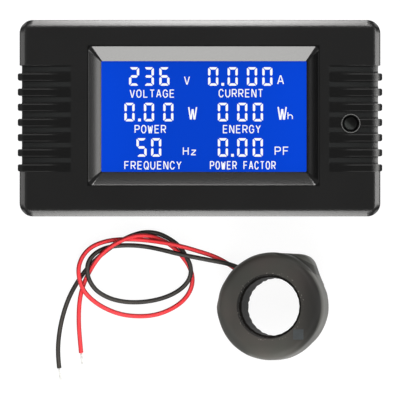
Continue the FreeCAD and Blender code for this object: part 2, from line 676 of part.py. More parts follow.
def board_outline():
    """The board, notched at its corners where the case's bosses stand."""
    x = CASE_SCREW_X - CASE_BOSS_R - NOTCH_FIT
    y = CASE_SCREW_Y - CASE_BOSS_R - NOTCH_FIT
    tall = block(0, 0, 2 * x, BOARD_H, BOARD_REAR_Z, BOARD_TOP_Z)
    wide = block(0, 0, BOARD_W, 2 * y, BOARD_REAR_Z, BOARD_TOP_Z)
    return fused(tall, [wide])


def main_board():
    holes = []
    for x, y in four(BOARD_SCREW_X, BOARD_SCREW_Y):
        holes.append(rod(x, y, BOARD_SCREW_R + 2 * SCREW_FIT, BOARD_REAR_Z, BOARD_TOP_Z))
    for x in terminal_places():
        size = CONTACT_PIN_W + 2 * CONTACT_HOLE_FIT
        holes.append(block(x, contact_pin_y(), size, size, BOARD_REAR_Z, BOARD_TOP_Z))
    for x in lcd_pin_places():
        holes.append(block(x, lcd_pin_y(), LCD_PIN_HOLE, LCD_PIN_HOLE, BOARD_REAR_Z, BOARD_TOP_Z))
    return board_outline().cut(holes)


def board_screws():
    screws = []
    top = BOARD_TOP_Z + BOARD_HEAD_T
    for x, y in four(BOARD_SCREW_X, BOARD_SCREW_Y):
        head = rod(x, y, BOARD_HEAD_R, BOARD_TOP_Z, top)
        screw = head.fuse(rod(x, y, BOARD_SCREW_R, BOARD_TOP_Z - BOARD_SCREW_LEN, BOARD_TOP_Z))
        screw = slotted(screw, x, y, BOARD_HEAD_R, top, -SLOT_DEPTH)
        screws.append(screw.removeSplitter())
    return group(screws)


# Display stack

def sheet(w, h, top, t, shift=0.0):
    return block(VIEW_X, VIEW_Y + shift, w, h, top - t, top)


def lcd_pin_places():
    first = VIEW_X - (LCD_PIN_COUNT - 1) / 2 * LCD_PIN_PITCH
    return [first + i * LCD_PIN_PITCH for i in range(LCD_PIN_COUNT)]


def lcd_pin_y():
    return VIEW_Y - FRONT_GLASS_H / 2 - GLASS_LEDGE - LCD_PIN_T / 2


def led_places():
    return [VIEW_Y + (i - (LED_COUNT - 1) / 2) * LED_PITCH for i in range(LED_COUNT)]


def led_box(y, fit):
    x = VIEW_X - GUIDE_W / 2 - LED_FIT - LED_DEPTH / 2
    top = TRAY_FLOOR_Z + LED_T + fit
    half = LED_W / 2 + fit
    depth = LED_DEPTH / 2 + fit
    return box(x - depth, x + depth + fit, y - half, y + half, TRAY_FLOOR_Z, top)


def lcd_frame():
    tray = block(VIEW_X, VIEW_Y, TRAY_W, TRAY_H, BOARD_TOP_Z, DIFFUSER_Z)
    w = GUIDE_W + 2 * TRAY_FIT
    h = GUIDE_H + 2 * TRAY_FIT
    pocket = block(VIEW_X, VIEW_Y, w, h, TRAY_FLOOR_Z, DIFFUSER_Z)
    cuts = [pocket] + [led_box(y, LED_FIT) for y in led_places()]
    size = CONTACT_PIN_W + 2 * TRAY_FIT
    relief = BOARD_TOP_Z + PIN_REACH + TRAY_FIT
    for x in terminal_places():
        cuts.append(block(x, contact_pin_y(), size, size, BOARD_TOP_Z, relief))
    return tray.cut(cuts)


def lcd_pins():
    pins = []
    low = BOARD_REAR_Z - LCD_PIN_REACH
    hook_y = lcd_pin_y() + (LCD_PIN_HOOK - LCD_PIN_T) / 2
    for x in lcd_pin_places():
        post = block(x, lcd_pin_y(), LCD_PIN_W, LCD_PIN_T, low, REAR_GLASS_Z)
        hook = block(x, hook_y, LCD_PIN_W, LCD_PIN_HOOK, REAR_GLASS_Z, REAR_GLASS_Z + LCD_PIN_T)
        pins.append(fused(post, [hook]))
    return group(pins)


def display_sheets():
    inner_w = VIEW_W + 2 * POLARISER_MARGIN
    inner_h = VIEW_H + 2 * POLARISER_MARGIN
    rear_h = FRONT_GLASS_H + GLASS_LEDGE
    return {
        "lcd_front_polariser": sheet(inner_w, inner_h, LCD_Z, POLARISER_T),
        "lcd_front_glass": sheet(GLASS_W, FRONT_GLASS_H, FRONT_GLASS_Z, GLASS_T),
        "lcd_rear_glass": sheet(GLASS_W, rear_h, REAR_GLASS_Z, GLASS_T, -GLASS_LEDGE / 2),
        "lcd_rear_polariser": sheet(inner_w, inner_h, REAR_POLARISER_Z, POLARISER_T),
        "backlight_diffuser": sheet(GUIDE_W, GUIDE_H, DIFFUSER_Z, DIFFUSER_T),
        "backlight_guide": sheet(GUIDE_W, GUIDE_H, GUIDE_Z, GUIDE_T),
        "backlight_reflector": sheet(GUIDE_W, GUIDE_H, REFLECTOR_Z, REFLECTOR_T),
    }


# Button and switch

def switch_body():
    top = BOARD_TOP_Z + SWITCH_T
    body = block(BUTTON_X, BUTTON_Y, SWITCH_W, SWITCH_W, BOARD_TOP_Z, top)
    low = BOARD_TOP_Z + SWITCH_FLOOR
    well = block(BUTTON_X, BUTTON_Y, SWITCH_CAVITY_W, SWITCH_CAVITY_W, low, low + SWITCH_CAVITY_T)
    return body.cut([well, rod(BUTTON_X, BUTTON_Y, PLUNGER_R + PLUNGER_FIT, low, top)])


def switch_dome():
    """A thin spring disc bulging up towards the plunger."""
    low = BOARD_TOP_Z + SWITCH_FLOOR
    arc_r = (DOME_R**2 + DOME_RISE**2) / (2 * DOME_RISE)
    centre = V(BUTTON_X, BUTTON_Y, low + DOME_RISE - arc_r)
    disc = rod(BUTTON_X, BUTTON_Y, DOME_R, low, low + DOME_RISE)
    cap = Part.makeSphere(arc_r, centre).common(disc)
    hollow = Part.makeSphere(arc_r - DOME_T, centre)
    return cap.cut(hollow)


def switch_plunger():
    foot = rod(BUTTON_X, BUTTON_Y, PLUNGER_FOOT_R, PLUNGER_Z, PLUNGER_Z + PLUNGER_FOOT_T)
    return fused(foot, [rod(BUTTON_X, BUTTON_Y, PLUNGER_R, PLUNGER_Z, CAP_Z)])


def switch_terminals():
    legs = []
    for x, y in four(SWITCH_CAVITY_W / 2, (SWITCH_W + SWITCH_LEG_OUT) / 2):
        top = BOARD_TOP_Z + SWITCH_LEG_T
        leg = block(BUTTON_X + x, BUTTON_Y + y, SWITCH_LEG_W, SWITCH_LEG_OUT, BOARD_TOP_Z, top)
        legs.append(leg)
    return group(legs)


def button_cap():
    flange = rod(BUTTON_X, BUTTON_Y, BUTTON_FLANGE_R, CAP_Z, CAP_Z + BUTTON_FLANGE_T)
    top = BODY_T - BUTTON_SUNK
    stem = rod(BUTTON_X, BUTTON_Y, BUTTON_STEM_R, CAP_Z, top)
    stem = stem.makeFillet(BUTTON_EDGE_R, edges_at(stem, top))
    return fused(flange, [stem])


# Screw terminals

def terminal_places():
    first = TERMINAL_X - (TERMINAL_COUNT - 1) / 2 * TERMINAL_PITCH
    return [first + i * TERMINAL_PITCH for i in range(TERMINAL_COUNT)]


def contact_pin_y():
    return TERMINAL_Y - CAGE_D / 2 - CAGE_FIT - CONTACT_PIN_T / 2


def terminal_block():
    half = BLOCK_W / 2
    ends = (TERMINAL_X - half, TERMINAL_X + half)
    body = box(*ends, BLOCK_BACK_Y, BLOCK_EDGE_Y, BLOCK_SUNK, BOARD_REAR_Z)
    w = CAGE_W / 2 + CAGE_FIT
    r = WIRE_HOLE / 2
    pin_w = CONTACT_PIN_W + 2 * CONTACT_HOLE_FIT
    pin_t = CONTACT_PIN_T + 2 * CONTACT_HOLE_FIT
    cuts = []
    for x in terminal_places():
        cuts.append(rod(x, TERMINAL_Y, WELL_R, BLOCK_SUNK, LEDGE_Z))
        cuts.append(rod(x, TERMINAL_Y, TERMINAL_SCREW_R + RUNNING_FIT, LEDGE_Z, CAVITY_Z))
        cuts.append(box(x - w, x + w, CAVITY_EDGE_Y - CAVITY_D, CAVITY_EDGE_Y, CAVITY_Z, CAVITY_TOP_Z))
        cuts.append(box(x - r, x + r, CAVITY_EDGE_Y, BLOCK_EDGE_Y, WIRE_Z - r, WIRE_Z + r))
        cuts.append(block(x, contact_pin_y(), pin_w, pin_t, CAVITY_TOP_Z, BOARD_REAR_Z))
    return body.cut(cuts)


def terminal_contacts():
    contacts = []
    back = contact_pin_y() - CONTACT_PIN_T / 2
    half = CONTACT_W / 2
    top = BOARD_TOP_Z + PIN_REACH
    for x in terminal_places():
        plate = box(x - half, x + half, back, CAVITY_EDGE_Y, CONTACT_Z, CONTACT_Z + CONTACT_T)
        pin = block(x, contact_pin_y(), CONTACT_PIN_W, CONTACT_PIN_T, CONTACT_Z, top)
        contacts.append(fused(plate, [pin]))
    return group(contacts)


def terminal_screw(x):
    top = LEDGE_Z - RUNNING_FIT
    face = top - TERMINAL_HEAD_T
    head = rod(x, TERMINAL_Y, TERMINAL_HEAD_R, face, top)
    screw = head.fuse(rod(x, TERMINAL_Y, TERMINAL_SCREW_R, top, CONTACT_Z - CAGE_END_FIT))
    return slotted(screw, x, TERMINAL_Y, TERMINAL_HEAD_R, face, SLOT_DEPTH).removeSplitter()


def terminal_cage(x):
    """The rising clamp: a square tube whose plain wall carries the thread."""
    top = CAGE_Z + 2 * CAGE_WALL + CAGE_WINDOW
    inside = CAGE_Z + CAGE_WALL
    outer = block(x, TERMINAL_Y, CAGE_W, CAGE_D, CAGE_Z, top)
    w = CAGE_W - 2 * CAGE_SIDE_WALL
    window = block(x, TERMINAL_Y, w, CAGE_D, inside, top - CAGE_WALL)
    thread = rod(x, TERMINAL_Y, TERMINAL_SCREW_R + RUNNING_FIT, CAGE_Z, inside)
    return outer.cut([window, thread])


# Parts soldered to the rear of the board

def chip(name):
    """A flat package with rows of bent legs. Its legs stand on the rear of the board."""
    x, y = CHIP_PLACES[name]
    w, h, t, pitch, span = CHIP_SIZES[name]
    legs = CHIP_LEG_COUNT[name]
    body = block(x, y, w, h, BOARD_REAR_Z - t, BOARD_REAR_Z - CHIP_LIFT)
    low = BOARD_REAR_Z - CHIP_LEG_T
    out = []
    for i in range(legs):
        shift = (i - (legs - 1) / 2) * pitch
        out.append(block(x + shift, y, CHIP_LEG_W, span, low, BOARD_REAR_Z))
        if name in LEGS_ALL_ROUND:
            out.append(block(x, y + shift, span, CHIP_LEG_W, low, BOARD_REAR_Z))
    return fused(body, out)


def wire_legs(x, y, span, z):
    """The two wire legs of a part that stands on the board."""
    return [block(x + s * span / 2, y, LEG_WIRE_W, LEG_WIRE_W, z, BOARD_REAR_Z) for s in (-1, 1)]


def box_capacitor():
    low = BOARD_REAR_Z - CAPACITOR_H
    case = block(*CAPACITOR_AT, CAPACITOR_W, CAPACITOR_D, low, BOARD_REAR_Z)
    return case.makeFillet(PART_EDGE_R, edges_at(case, low))


def fuse_resistor():
    """A resistor lying along X, its leads bent down to the board at both ends."""
    x, y = FUSE_AT
    z = BOARD_REAR_Z - FUSE_LIFT
    barrel = Part.makeCylinder(FUSE_R, FUSE_LEN, V(x - FUSE_LEN / 2, y, z), V(1, 0, 0))
    half = LEG_WIRE_W / 2
    wire = block(x, y, FUSE_LEG_SPAN + LEG_WIRE_W, LEG_WIRE_W, z - half, z + half)
    return fused(barrel, [wire] + wire_legs(x, y, FUSE_LEG_SPAN, z - half))


def varistor():
    """A coated disc standing on edge."""
    x, y = VARISTOR_AT
    z = BOARD_REAR_Z - VARISTOR_LIFT
    disc = Part.makeCylinder(VARISTOR_R, VARISTOR_T, V(x, y - VARISTOR_T / 2, z), V(0, 1, 0))
    return fused(disc, wire_legs(x, y, VARISTOR_LEG_SPAN, z))


def electrolytic_capacitor():
    low = BOARD_REAR_Z - CAN_H
    can = rod(*CAN_AT, CAN_R, low, BOARD_REAR_Z)
    return can.makeFillet(PART_EDGE_R, edges_at(can, low))


def crystal():
    low = BOARD_REAR_Z - CRYSTAL_H
    return rounded_block(*CRYSTAL_AT, CRYSTAL_W, CRYSTAL_D, CRYSTAL_END_R, low, BOARD_REAR_Z)


def chip_resistors():
    low = BOARD_REAR_Z - RESISTOR_H
    resistors = []
    for i in range(RESISTOR_COLUMNS):
        for j in range(RESISTOR_ROWS):
            x = RESISTOR_FIRST[0] + i * RESISTOR_PITCH[0]
            y = RESISTOR_FIRST[1] + j * RESISTOR_PITCH[1]
            resistors.append(block(x, y, RESISTOR_W, RESISTOR_D, low, BOARD_REAR_Z))
    return group(resistors)


# Sensor ring

def ring_placement():
    """Leans the ring over and sets its lowest rim on the table."""
    turn = FreeCAD.Rotation(UP, LEAN)
    lean = math.hypot(RING_LEAN_X, RING_LEAN_Y)
    drop = (RING_R - RING_BACK_ROUND) * lean - RING_BACK_ROUND * LEAN.z + RING_BACK_ROUND
    middle_z = RING_H / 2 * LEAN.z + drop
    start = V(RING_X, RING_Y, middle_z) - LEAN * (RING_H / 2)
    return FreeCAD.Placement(start, turn)


def turned_profile(corners):
    """A solid turned about the ring's axis. Each corner is (radius, height, rounding)."""
    count = len(corners)
    ins = []
    outs = []
    for i, (r, z, c) in enumerate(corners):
        here = V(r, 0, z)
        before = V(corners[i - 1][0], 0, corners[i - 1][1])
        after = V(corners[(i + 1) % count][0], 0, corners[(i + 1) % count][1])
        ins.append(here + (before - here).normalize() * c)
        outs.append(here + (after - here).normalize() * c)
    edges = []
    for i, (r, z, c) in enumerate(corners):
        if c > 0:
            here = V(r, 0, z)
            centre = ins[i] + outs[i] - here
            middle = centre + (here - centre).normalize() * c
            edges.append(Part.Arc(ins[i], middle, outs[i]).toShape())
        edges.append(Part.LineSegment(outs[i], ins[(i + 1) % count]).toShape())
    return Part.Face(Part.Wire(edges)).revolve(V(0, 0, 0), UP, 360)


def square_ring(inner, outer, low, high, rounding):
    corners = [(inner, low), (outer, low), (outer, high), (inner, high)]
    return turned_profile([(r, z, rounding) for r, z in corners])


def winding_space(shrink):
    inner = RING_BORE_R + RING_WALL + shrink
    outer = RING_R - RING_WALL - shrink
    return square_ring(inner, outer, RING_WALL + shrink, RING_H - RING_WALL - shrink, CORE_COVER / 2)


def lump_outline(z):
    """The bulge over the solder joints, tangent to the ring on both sides."""
    az = math.radians(LUMP_AZ_DEG)
    side = math.acos((RING_R - LUMP_R) / LUMP_OUT)
    centre = V(math.cos(az), math.sin(az), 0) * LUMP_OUT

    def at(origin, r, angle):
        return origin + V(math.cos(angle), math.sin(angle), 0) * r + V(0, 0, z)

    zero = V(0, 0, 0)
    inner = [at(zero, LUMP_INNER_R, az + s * side) for s in (-1, 0, 1)]
    big = [at(zero, RING_R - LUMP_SINK, az + s * side) for s in (-1, 1)]
    small = [at(centre, LUMP_R, az + s * side) for s in (-1, 0, 1)]
    edges = [Part.LineSegment(inner[0], big[0]).toShape()]
    edges.append(Part.LineSegment(big[0], small[0]).toShape())
    edges.append(Part.Arc(small[0], small[1], small[2]).toShape())
    edges.append(Part.LineSegment(small[2], big[1]).toShape())
    edges.append(Part.LineSegment(big[1], inner[2]).toShape())
    edges.append(Part.Arc(inner[2], inner[1], inner[0]).toShape())
    return Part.Face(Part.Wire(edges))


def lump_foot():
    """The rounded underside of the lump, which the ring leans on. Its lowest strip lies flat."""
    ends = []
    for turn, out in ((FOOT_START_DEG, FOOT_START_OUT), (FOOT_END_DEG, FOOT_END_OUT)):
        az = math.radians(turn)
        point = ring_placement().multVec(V(math.cos(az), math.sin(az), 0) * out)
        ends.append(V(point.x, point.y, FOOT_R - FOOT_FLAT))
    along = ends[1] - ends[0]
    capsule = Part.makeCylinder(FOOT_R, along.Length, ends[0], along)
    return capsule.fuse([Part.makeSphere(FOOT_R, end) for end in ends])


def joint_rods(fit):
    """The two soldered joints, lying side by side across the lump."""
    az = math.radians(LUMP_AZ_DEG)
    out = V(math.cos(az), math.sin(az), 0)
    along = V(-math.sin(az), math.cos(az), 0)
    rods = []
    for i in range(2):
        middle = out * JOINT_OUT + V(0, 0, JOINT_LOW_Z + i * JOINT_SPACING)
        length = JOINT_LEN + 2 * fit
        rods.append(Part.makeCylinder(JOINT_R + fit, length, middle - along * (length / 2), along))
    return rods


def sensor_sleeve():
    corners = [
        (RING_BORE_R, 0, RING_BORE_ROUND),
        (RING_R, 0, RING_BACK_ROUND),
        (RING_R, RING_H, RING_FRONT_ROUND),
        (RING_BORE_R, RING_H, RING_BORE_ROUND),
    ]
    lump = lump_outline(-LUMP_DROP).extrude(V(0, 0, LUMP_TOP + LUMP_DROP))
    rims = edges_at(lump, LUMP_TOP) + edges_at(lump, -LUMP_DROP)
    centres = [(e, e.BoundBox.Center) for e in rims]
    outer = [e for e, centre in centres if math.hypot(centre.x, centre.y) > RING_R - RING_WALL]
    lump = lump.makeFillet(LUMP_ROUND, outer)
    body = turned_profile(corners).fuse(lump)
    body.Placement = ring_placement()
    body = body.fuse(lump_foot())
    inside = [winding_space(0)] + joint_rods(JOINT_FIT)
    for piece in inside:
        piece.Placement = ring_placement().multiply(piece.Placement)
    body = body.cut(inside)
    holes = []
    for route in (BLACK_ROUTE, RED_ROUTE):
        start = V(*route[0])
        way = (V(*route[1]) - start).normalize()
        holes.append(Part.makeCylinder(LEAD_R + LEAD_HOLE_FIT, LEAD_HOLE_LEN, start, way))
    side = 2 * (RING_R + LUMP_OUT)
    table = block(RING_X, RING_Y, side, side, -FOOT_R, 0)
    return body.cut(holes + [table]).removeSplitter()


def sensor_pieces():
    winding = winding_space(WINDING_FIT)
    core = winding_space(CORE_COVER)
    az = math.radians(STICKER_AZ_DEG)
    x = STICKER_OUT * math.cos(az)
    y = STICKER_OUT * math.sin(az)
    sticker = block(x, y, STICKER_SIDE, STICKER_SIDE, RING_H, RING_H + STICKER_T)
    pieces = {
        "sensor_core": core,
        "sensor_winding": winding.cut(winding_space(CORE_COVER - WINDING_FIT)),
        "sensor_joints": group(joint_rods(0)),
        "sensor_sticker": sticker,
    }
    for piece in pieces.values():
        piece.Placement = ring_placement()
    pieces["sensor_sleeve"] = sensor_sleeve()
    return pieces


# Leads

def lead_path(route, name):
    """Straight runs joined by tangent arcs, and the smallest arc's radius printed."""
    points = [V(*p) for p in route]
    edges = []
    radii = []
    here = points[0]
    for before, corner, after in zip(points, points[1:], points[2:]):
        back = before - corner
        on = after - corner
        cut = LEAD_BEND * min(back.Length, on.Length)
        turn = math.pi - back.getAngle(on)
        radius = cut / math.tan(turn / 2)
        radii.append(radius)
        back.normalize()
        on.normalize()
        first = corner + back * cut
        last = corner + on * cut
        centre = corner + (back + on).normalize() * math.hypot(radius, cut)
        middle = centre + (corner - centre).normalize() * radius
        edges.append(Part.LineSegment(here, first).toShape())
        edges.append(Part.Arc(first, middle, last).toShape())
        here = last
    edges.append(Part.LineSegment(here, points[-1]).toShape())
    length = sum(e.Length for e in edges)
    print(name, "length", round(length, 1), "least radius", round(min(radii), 2))
    return Part.Wire(edges), length


def lead(route, name):
    path, length = lead_path(route, name)
    start = V(*route[0])
    way = V(*route[1]) - start
    ring = Part.Wire([Part.Circle(start, way, LEAD_R).toShape()])
    tube = path.makePipeShell([ring], True, False)
    print(name, "volume ratio", round(tube.Volume / (math.pi * LEAD_R**2 * length), 4))
    return tube


def bare_end(route):
    end = V(*route[-1])
    way = (end - V(*route[-2])).normalize()
    return Part.makeCylinder(STRAND_R, STRAND_LEN, end, way)


def all_pieces():
    pieces = {
        "front_bezel": front_bezel(),
        "rear_housing": rear_housing(),
        "panel_clip_left": panel_clip(-1),
        "panel_clip_right": panel_clip(1),
        "case_screws": case_screws(),
        "main_board": main_board(),
        "board_screws": board_screws(),
        "lcd_frame": lcd_frame(),
        "lcd_pins": lcd_pins(),
        "backlight_leds": group([led_box(y, 0.0) for y in led_places()]),
        "switch_body": switch_body(),
        "switch_dome": switch_dome(),
        "switch_terminals": switch_terminals(),
        "switch_plunger": switch_plunger(),
        "button_cap": button_cap(),
        "terminal_block": terminal_block(),
        "terminal_contacts": terminal_contacts(),
        "box_capacitor": box_capacitor(),
        "fuse_resistor": fuse_resistor(),
        "varistor": varistor(),
        "electrolytic_capacitor": electrolytic_capacitor(),
        "crystal": crystal(),
        "chip_resistors": chip_resistors(),
        "black_lead": lead(BLACK_ROUTE, "black lead"),
        "red_lead": lead(RED_ROUTE, "red lead"),
        "black_lead_end": bare_end(BLACK_ROUTE),
        "red_lead_end": bare_end(RED_ROUTE),
    }
    pieces.update(display_sheets())
    pieces.update({name: chip(name) for name in CHIP_SIZES})
    pieces.update(sensor_pieces())
    for i, x in enumerate(terminal_places()):
        pieces[f"terminal_screw_{i + 1}"] = terminal_screw(x)
        pieces[f"terminal_cage_{i + 1}"] = terminal_cage(x)
    return pieces


def main():
    os.makedirs("parts", exist_ok=True)
    for name, shape in all_pieces().items():
        shape.exportStep(f"parts/{name}.step")
    middle = ring_placement().Base + LEAN * (RING_H / 2)
    print("ring middle", [round(c, 3) for c in middle], "axis", [round(c, 5) for c in LEAN])


main()
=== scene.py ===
import math
from functools import partial

import bmesh
import bpy
from bpy.props import FloatProperty, FloatVectorProperty, IntProperty, PointerProperty
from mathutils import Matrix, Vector, noise
from numpy import interp


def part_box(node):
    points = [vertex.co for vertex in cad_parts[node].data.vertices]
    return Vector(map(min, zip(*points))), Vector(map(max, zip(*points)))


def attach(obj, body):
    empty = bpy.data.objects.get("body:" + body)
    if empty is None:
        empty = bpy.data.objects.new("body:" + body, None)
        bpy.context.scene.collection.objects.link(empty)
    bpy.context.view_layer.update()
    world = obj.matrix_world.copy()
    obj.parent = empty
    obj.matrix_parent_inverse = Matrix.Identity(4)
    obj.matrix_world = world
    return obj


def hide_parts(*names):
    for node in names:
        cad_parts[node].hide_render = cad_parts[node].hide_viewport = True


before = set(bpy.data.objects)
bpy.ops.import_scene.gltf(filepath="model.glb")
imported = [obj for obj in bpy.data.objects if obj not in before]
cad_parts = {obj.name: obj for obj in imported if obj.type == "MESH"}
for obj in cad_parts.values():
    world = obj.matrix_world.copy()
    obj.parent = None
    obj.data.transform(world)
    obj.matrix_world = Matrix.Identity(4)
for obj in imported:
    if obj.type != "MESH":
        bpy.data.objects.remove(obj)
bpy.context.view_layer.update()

bl_info = {
    "name": "Panel power meter set",
    "version": (1, 0, 0),
    "blender": (4, 5, 0),
    "location": "3D View > Sidebar > Power meter",
    "description": "Dresses a panel power meter and its current sensor, and lights them",
    "category": "Object",
}

MM = 0.001

# The stage: the floor from its middle to its side in metres, the tent's tone by how far a ray points up, and
# the camera's place along Y
FLOOR_HALF = 3.0
TENT_TONES = [(0.0, 0.04), (0.2, 0.04), (0.36, 1.0), (0.95, 1.0), (0.985, 0.2)]
CAMERA_Y = -20.4 * MM

# Rectangles on the meter's face: the middle and half the width, then the middle and half the height, in mm
WINDOW = (0.88, 28.93, 0.62, 17.53)
GRIP_ROWS = (0.0, 46.0, -0.1, 13.32)
BETWEEN_GRIPS = (0.0, 32.2, 0.0, 24.0)
# The grips' ribs: where the first starts and how far apart they are, in mm
RIB_TOP = 13.2
RIB_PITCH = 3.78
# Where the painted highlights along the ribs' edges start and are full, by the distance from the middle in mm
RIB_EDGE_HIGHLIGHT = (35.2, 38.0)
# The painted highlight ring on the button's collar: its radius and half its width, in mm
COLLAR_HIGHLIGHT = (2.27, 0.085)

# How steeply the grips' ends turn away, by the place along X in mm
GRIP_TURN = [
    (-46.0, 0.0), (-45.1, 0.0), (-44.8, 0.2), (-44.5, 0.24), (-44.3, 0.2), (-44.1, 0.0), (42.5, 0.0),
    (43.0, 0.16), (43.25, 0.2), (44.0, 0.26), (44.25, 0.31), (44.5, 0.265), (44.75, 0.22), (45.1, 0.0),
    (46.0, 0.0),
]

# The sensor's ring: the middle of its bore, its axis, half its height and its bore's radius
RING_MIDDLE = Vector((0.01866, -0.0475, 0.007962))
RING_AXIS = Vector((-0.181, 0.044, 0.9825)).normalized()
RING_HALF_HEIGHT = 5.75 * MM
RING_BORE = 7.4 * MM

# The sleeve's painted light and shade, by the place along X and along Y in mm
SLEEVE_SIDE_SHADE = [
    (4.5, 1.25), (6.5, 1.12), (8.5, 0.92), (12, 1.0), (21, 1.0), (24.5, 0.75), (27, 0.38), (29.5, 0.2),
]
SLEEVE_FRONT_LIGHT = [(-59.5, 0.42), (-57, 0.3), (-52, 0.24)]

# How far the sleeve stands off the ring, in mm, by the angle round it in degrees
SLEEVE_STAND_OFF = [
    (-180, 0.5), (-165, 0.35), (-140, 0.3), (-115, 0.2), (-90, 0), (-74, -0.1), (-60, -0.3), (-45, -0.45),
    (-30, -0.32), (-18, -0.12), (-8, 0), (14, 0), (24, -0.15), (37, -0.1), (46, 0.05), (52, 0.05),
    (65, 0.35), (80, 0.25), (95, 0.2), (110, 0.15), (150, 0.1), (172, 0.25), (180, 0.5),
]

# The two leads: the insulation's two colours on top and the painted shade at its sides, the length in metres,
# and the route from the ring to the cut end in mm
LEADS = [
    ("black", ("#403d3a", "#4a4642", "#343434"), 0.1400, [
        (10.3, -37.8, 3.2), (7.6, -36.7, 2.8), (3.3, -35.9, 2.6), (-0.8, -35.1, 3.1), (-5.4, -34.2, 3.1),
        (-9.7, -33.1, 2.2), (-14.1, -32.2, 1.5), (-18.5, -31.9, 1.7), (-22.6, -32.2, 1.85),
        (-25.4, -33.1, 1.9), (-27.4, -34.5, 2.6), (-28.7, -36.5, 3.1), (-28.8, -39.3, 3.15),
        (-27.8, -41.9, 2.8), (-25.9, -44.1, 1.6), (-22.6, -45.8, 0.7), (-18.5, -46.6, 0.6),
        (-14.1, -46.5, 0.6), (-10, -45.7, 0.6), (-6.7, -44.4, 0.6), (-4, -42.5, 0.8), (-2.4, -40.1, 1.7),
        (-2.3, -37.3, 1.9), (-3.5, -34.8, 1.9), (-5.1, -32.3, 1.55), (-7.4, -30.5, 1.1),
        (-10.5, -28.9, 0.6), (-13.9, -28.5, 0.6), (-17.2, -29.3, 0.6), (-20.5, -30.9, 0.6),
        (-23.6, -33.1, 0.6), (-26.4, -35.4, 0.6), (-29.1, -38.1, 0.6), (-31.4, -41.4, 0.6),
        (-33.4, -45, 0.6), (-34.8, -48.9, 0.6), (-35.8, -53, 0.6), (-36.3, -57.1, 0.6), (-36.3, -60.7, 0.6),
        (-36, -63.4, 0.6),
    ]),
    ("red", ("#ff4046", "#ff4a50", "#c8a8b0"), 0.1441, [
        (9.7, -38.4, 1.9), (7.6, -36.9, 1.5), (4, -34.9, 1.5), (-0.3, -33.5, 2.2), (-4.7, -32.2, 2.8),
        (-9, -31.3, 2.4), (-13.3, -30.7, 1.6), (-17.7, -30.4, 1.7), (-21.8, -30.5, 1.85), (-25.2, -31.2, 2),
        (-28.2, -32.6, 2.2), (-30.2, -35, 2.6), (-31.1, -37.8, 3.1), (-30.8, -40.7, 3.1),
        (-29.7, -43.6, 3.05), (-27.5, -46, 1.8), (-24.4, -48.1, 0.8), (-20.3, -49.7, 0.6),
        (-15.9, -50.2, 0.6), (-11.5, -49.9, 0.6), (-7.4, -48.4, 0.6), (-4.1, -46.1, 0.6),
        (-2.2, -43.2, 0.6), (-1.8, -40.2, 0.6), (-2.7, -37.3, 0.6), (-4.6, -34.7, 0.6), (-6.8, -32.4, 0.6),
        (-9.6, -30.6, 0.7), (-12.9, -29.5, 1.3), (-16.3, -29.4, 2.5), (-19.7, -30.5, 3.15),
        (-23.2, -32.5, 3.15), (-25.9, -35, 2.4), (-27.9, -38, 1.85), (-29.5, -41.2, 1.85),
        (-30.6, -44.8, 1.6), (-31, -48.6, 0.7), (-31, -52.5, 0.6), (-30.7, -56.3, 0.6), (-30.4, -59.5, 0.6),
    ]),
]
# The bare strand: its wires round the straight one, and the steps along and the facets round each
OUTER_WIRES = 6
STRAND_STEPS = 14
STRAND_FACETS = 8

# The display's numbers: the top of each row, then each figure with its left side, in mm on the face
FIGURE_ROWS = [
    (12.81, [
        ("2", -17.75), ("3", -14.08), ("6", -10.17),
        ("0", 2.03), (".", 5.35), ("0", 6.9), ("0", 11.74), ("0", 15.58),
    ]),
    (3.89, [("0", -18.9), (".", -15.47), ("0", -14.03), ("0", -9.19), ("0", 4.46), ("0", 9.3), ("0", 13.22)]),
    (-4.94, [("5", -15.89), ("0", -12.23), ("0", 4.46), (".", 7.79), ("0", 9.3), ("0", 13.19)]),
]
# The units and the names of the quantities: left, right, bottom and top, in mm on the face
LABELS = [
    ("V", -3.99, -2.53, 8.48, 10.57),
    ("VOLTAGE", -17.57, -6.37, 5.2, 7.23),
    ("A", 19.3, 21.0, 8.48, 10.77),
    ("CURRENT", 4.67, 15.76, 5.27, 7.35),
    ("W", -2.99, -0.7, -0.25, 2.99),
    ("POWER", -16.36, -8.51, -3.71, -1.65),
    ("W", 19.37, 21.73, -0.3, 3.04),
    ("h", 21.88, 23.21, -0.25, 1.66),
    ("ENERGY", 5.67, 15.18, -3.71, -1.65),
    ("Hz", -4.29, -0.93, -9.21, -7.13),
    ("FREQUENCY", -18.97, -4.64, -12.75, -10.69),
    ("PF", 18.67, 22.21, -9.21, -7.05),
    ("POWER", 2.48, 9.18, -12.75, -10.69),
    ("FACTOR", 10.82, 18.92, -12.75, -10.69),
]
# Each letter's strokes on a grid 4 wide and 6 tall; a closed stroke ends on its first point
LETTER_W = 4
LETTER_H = 6
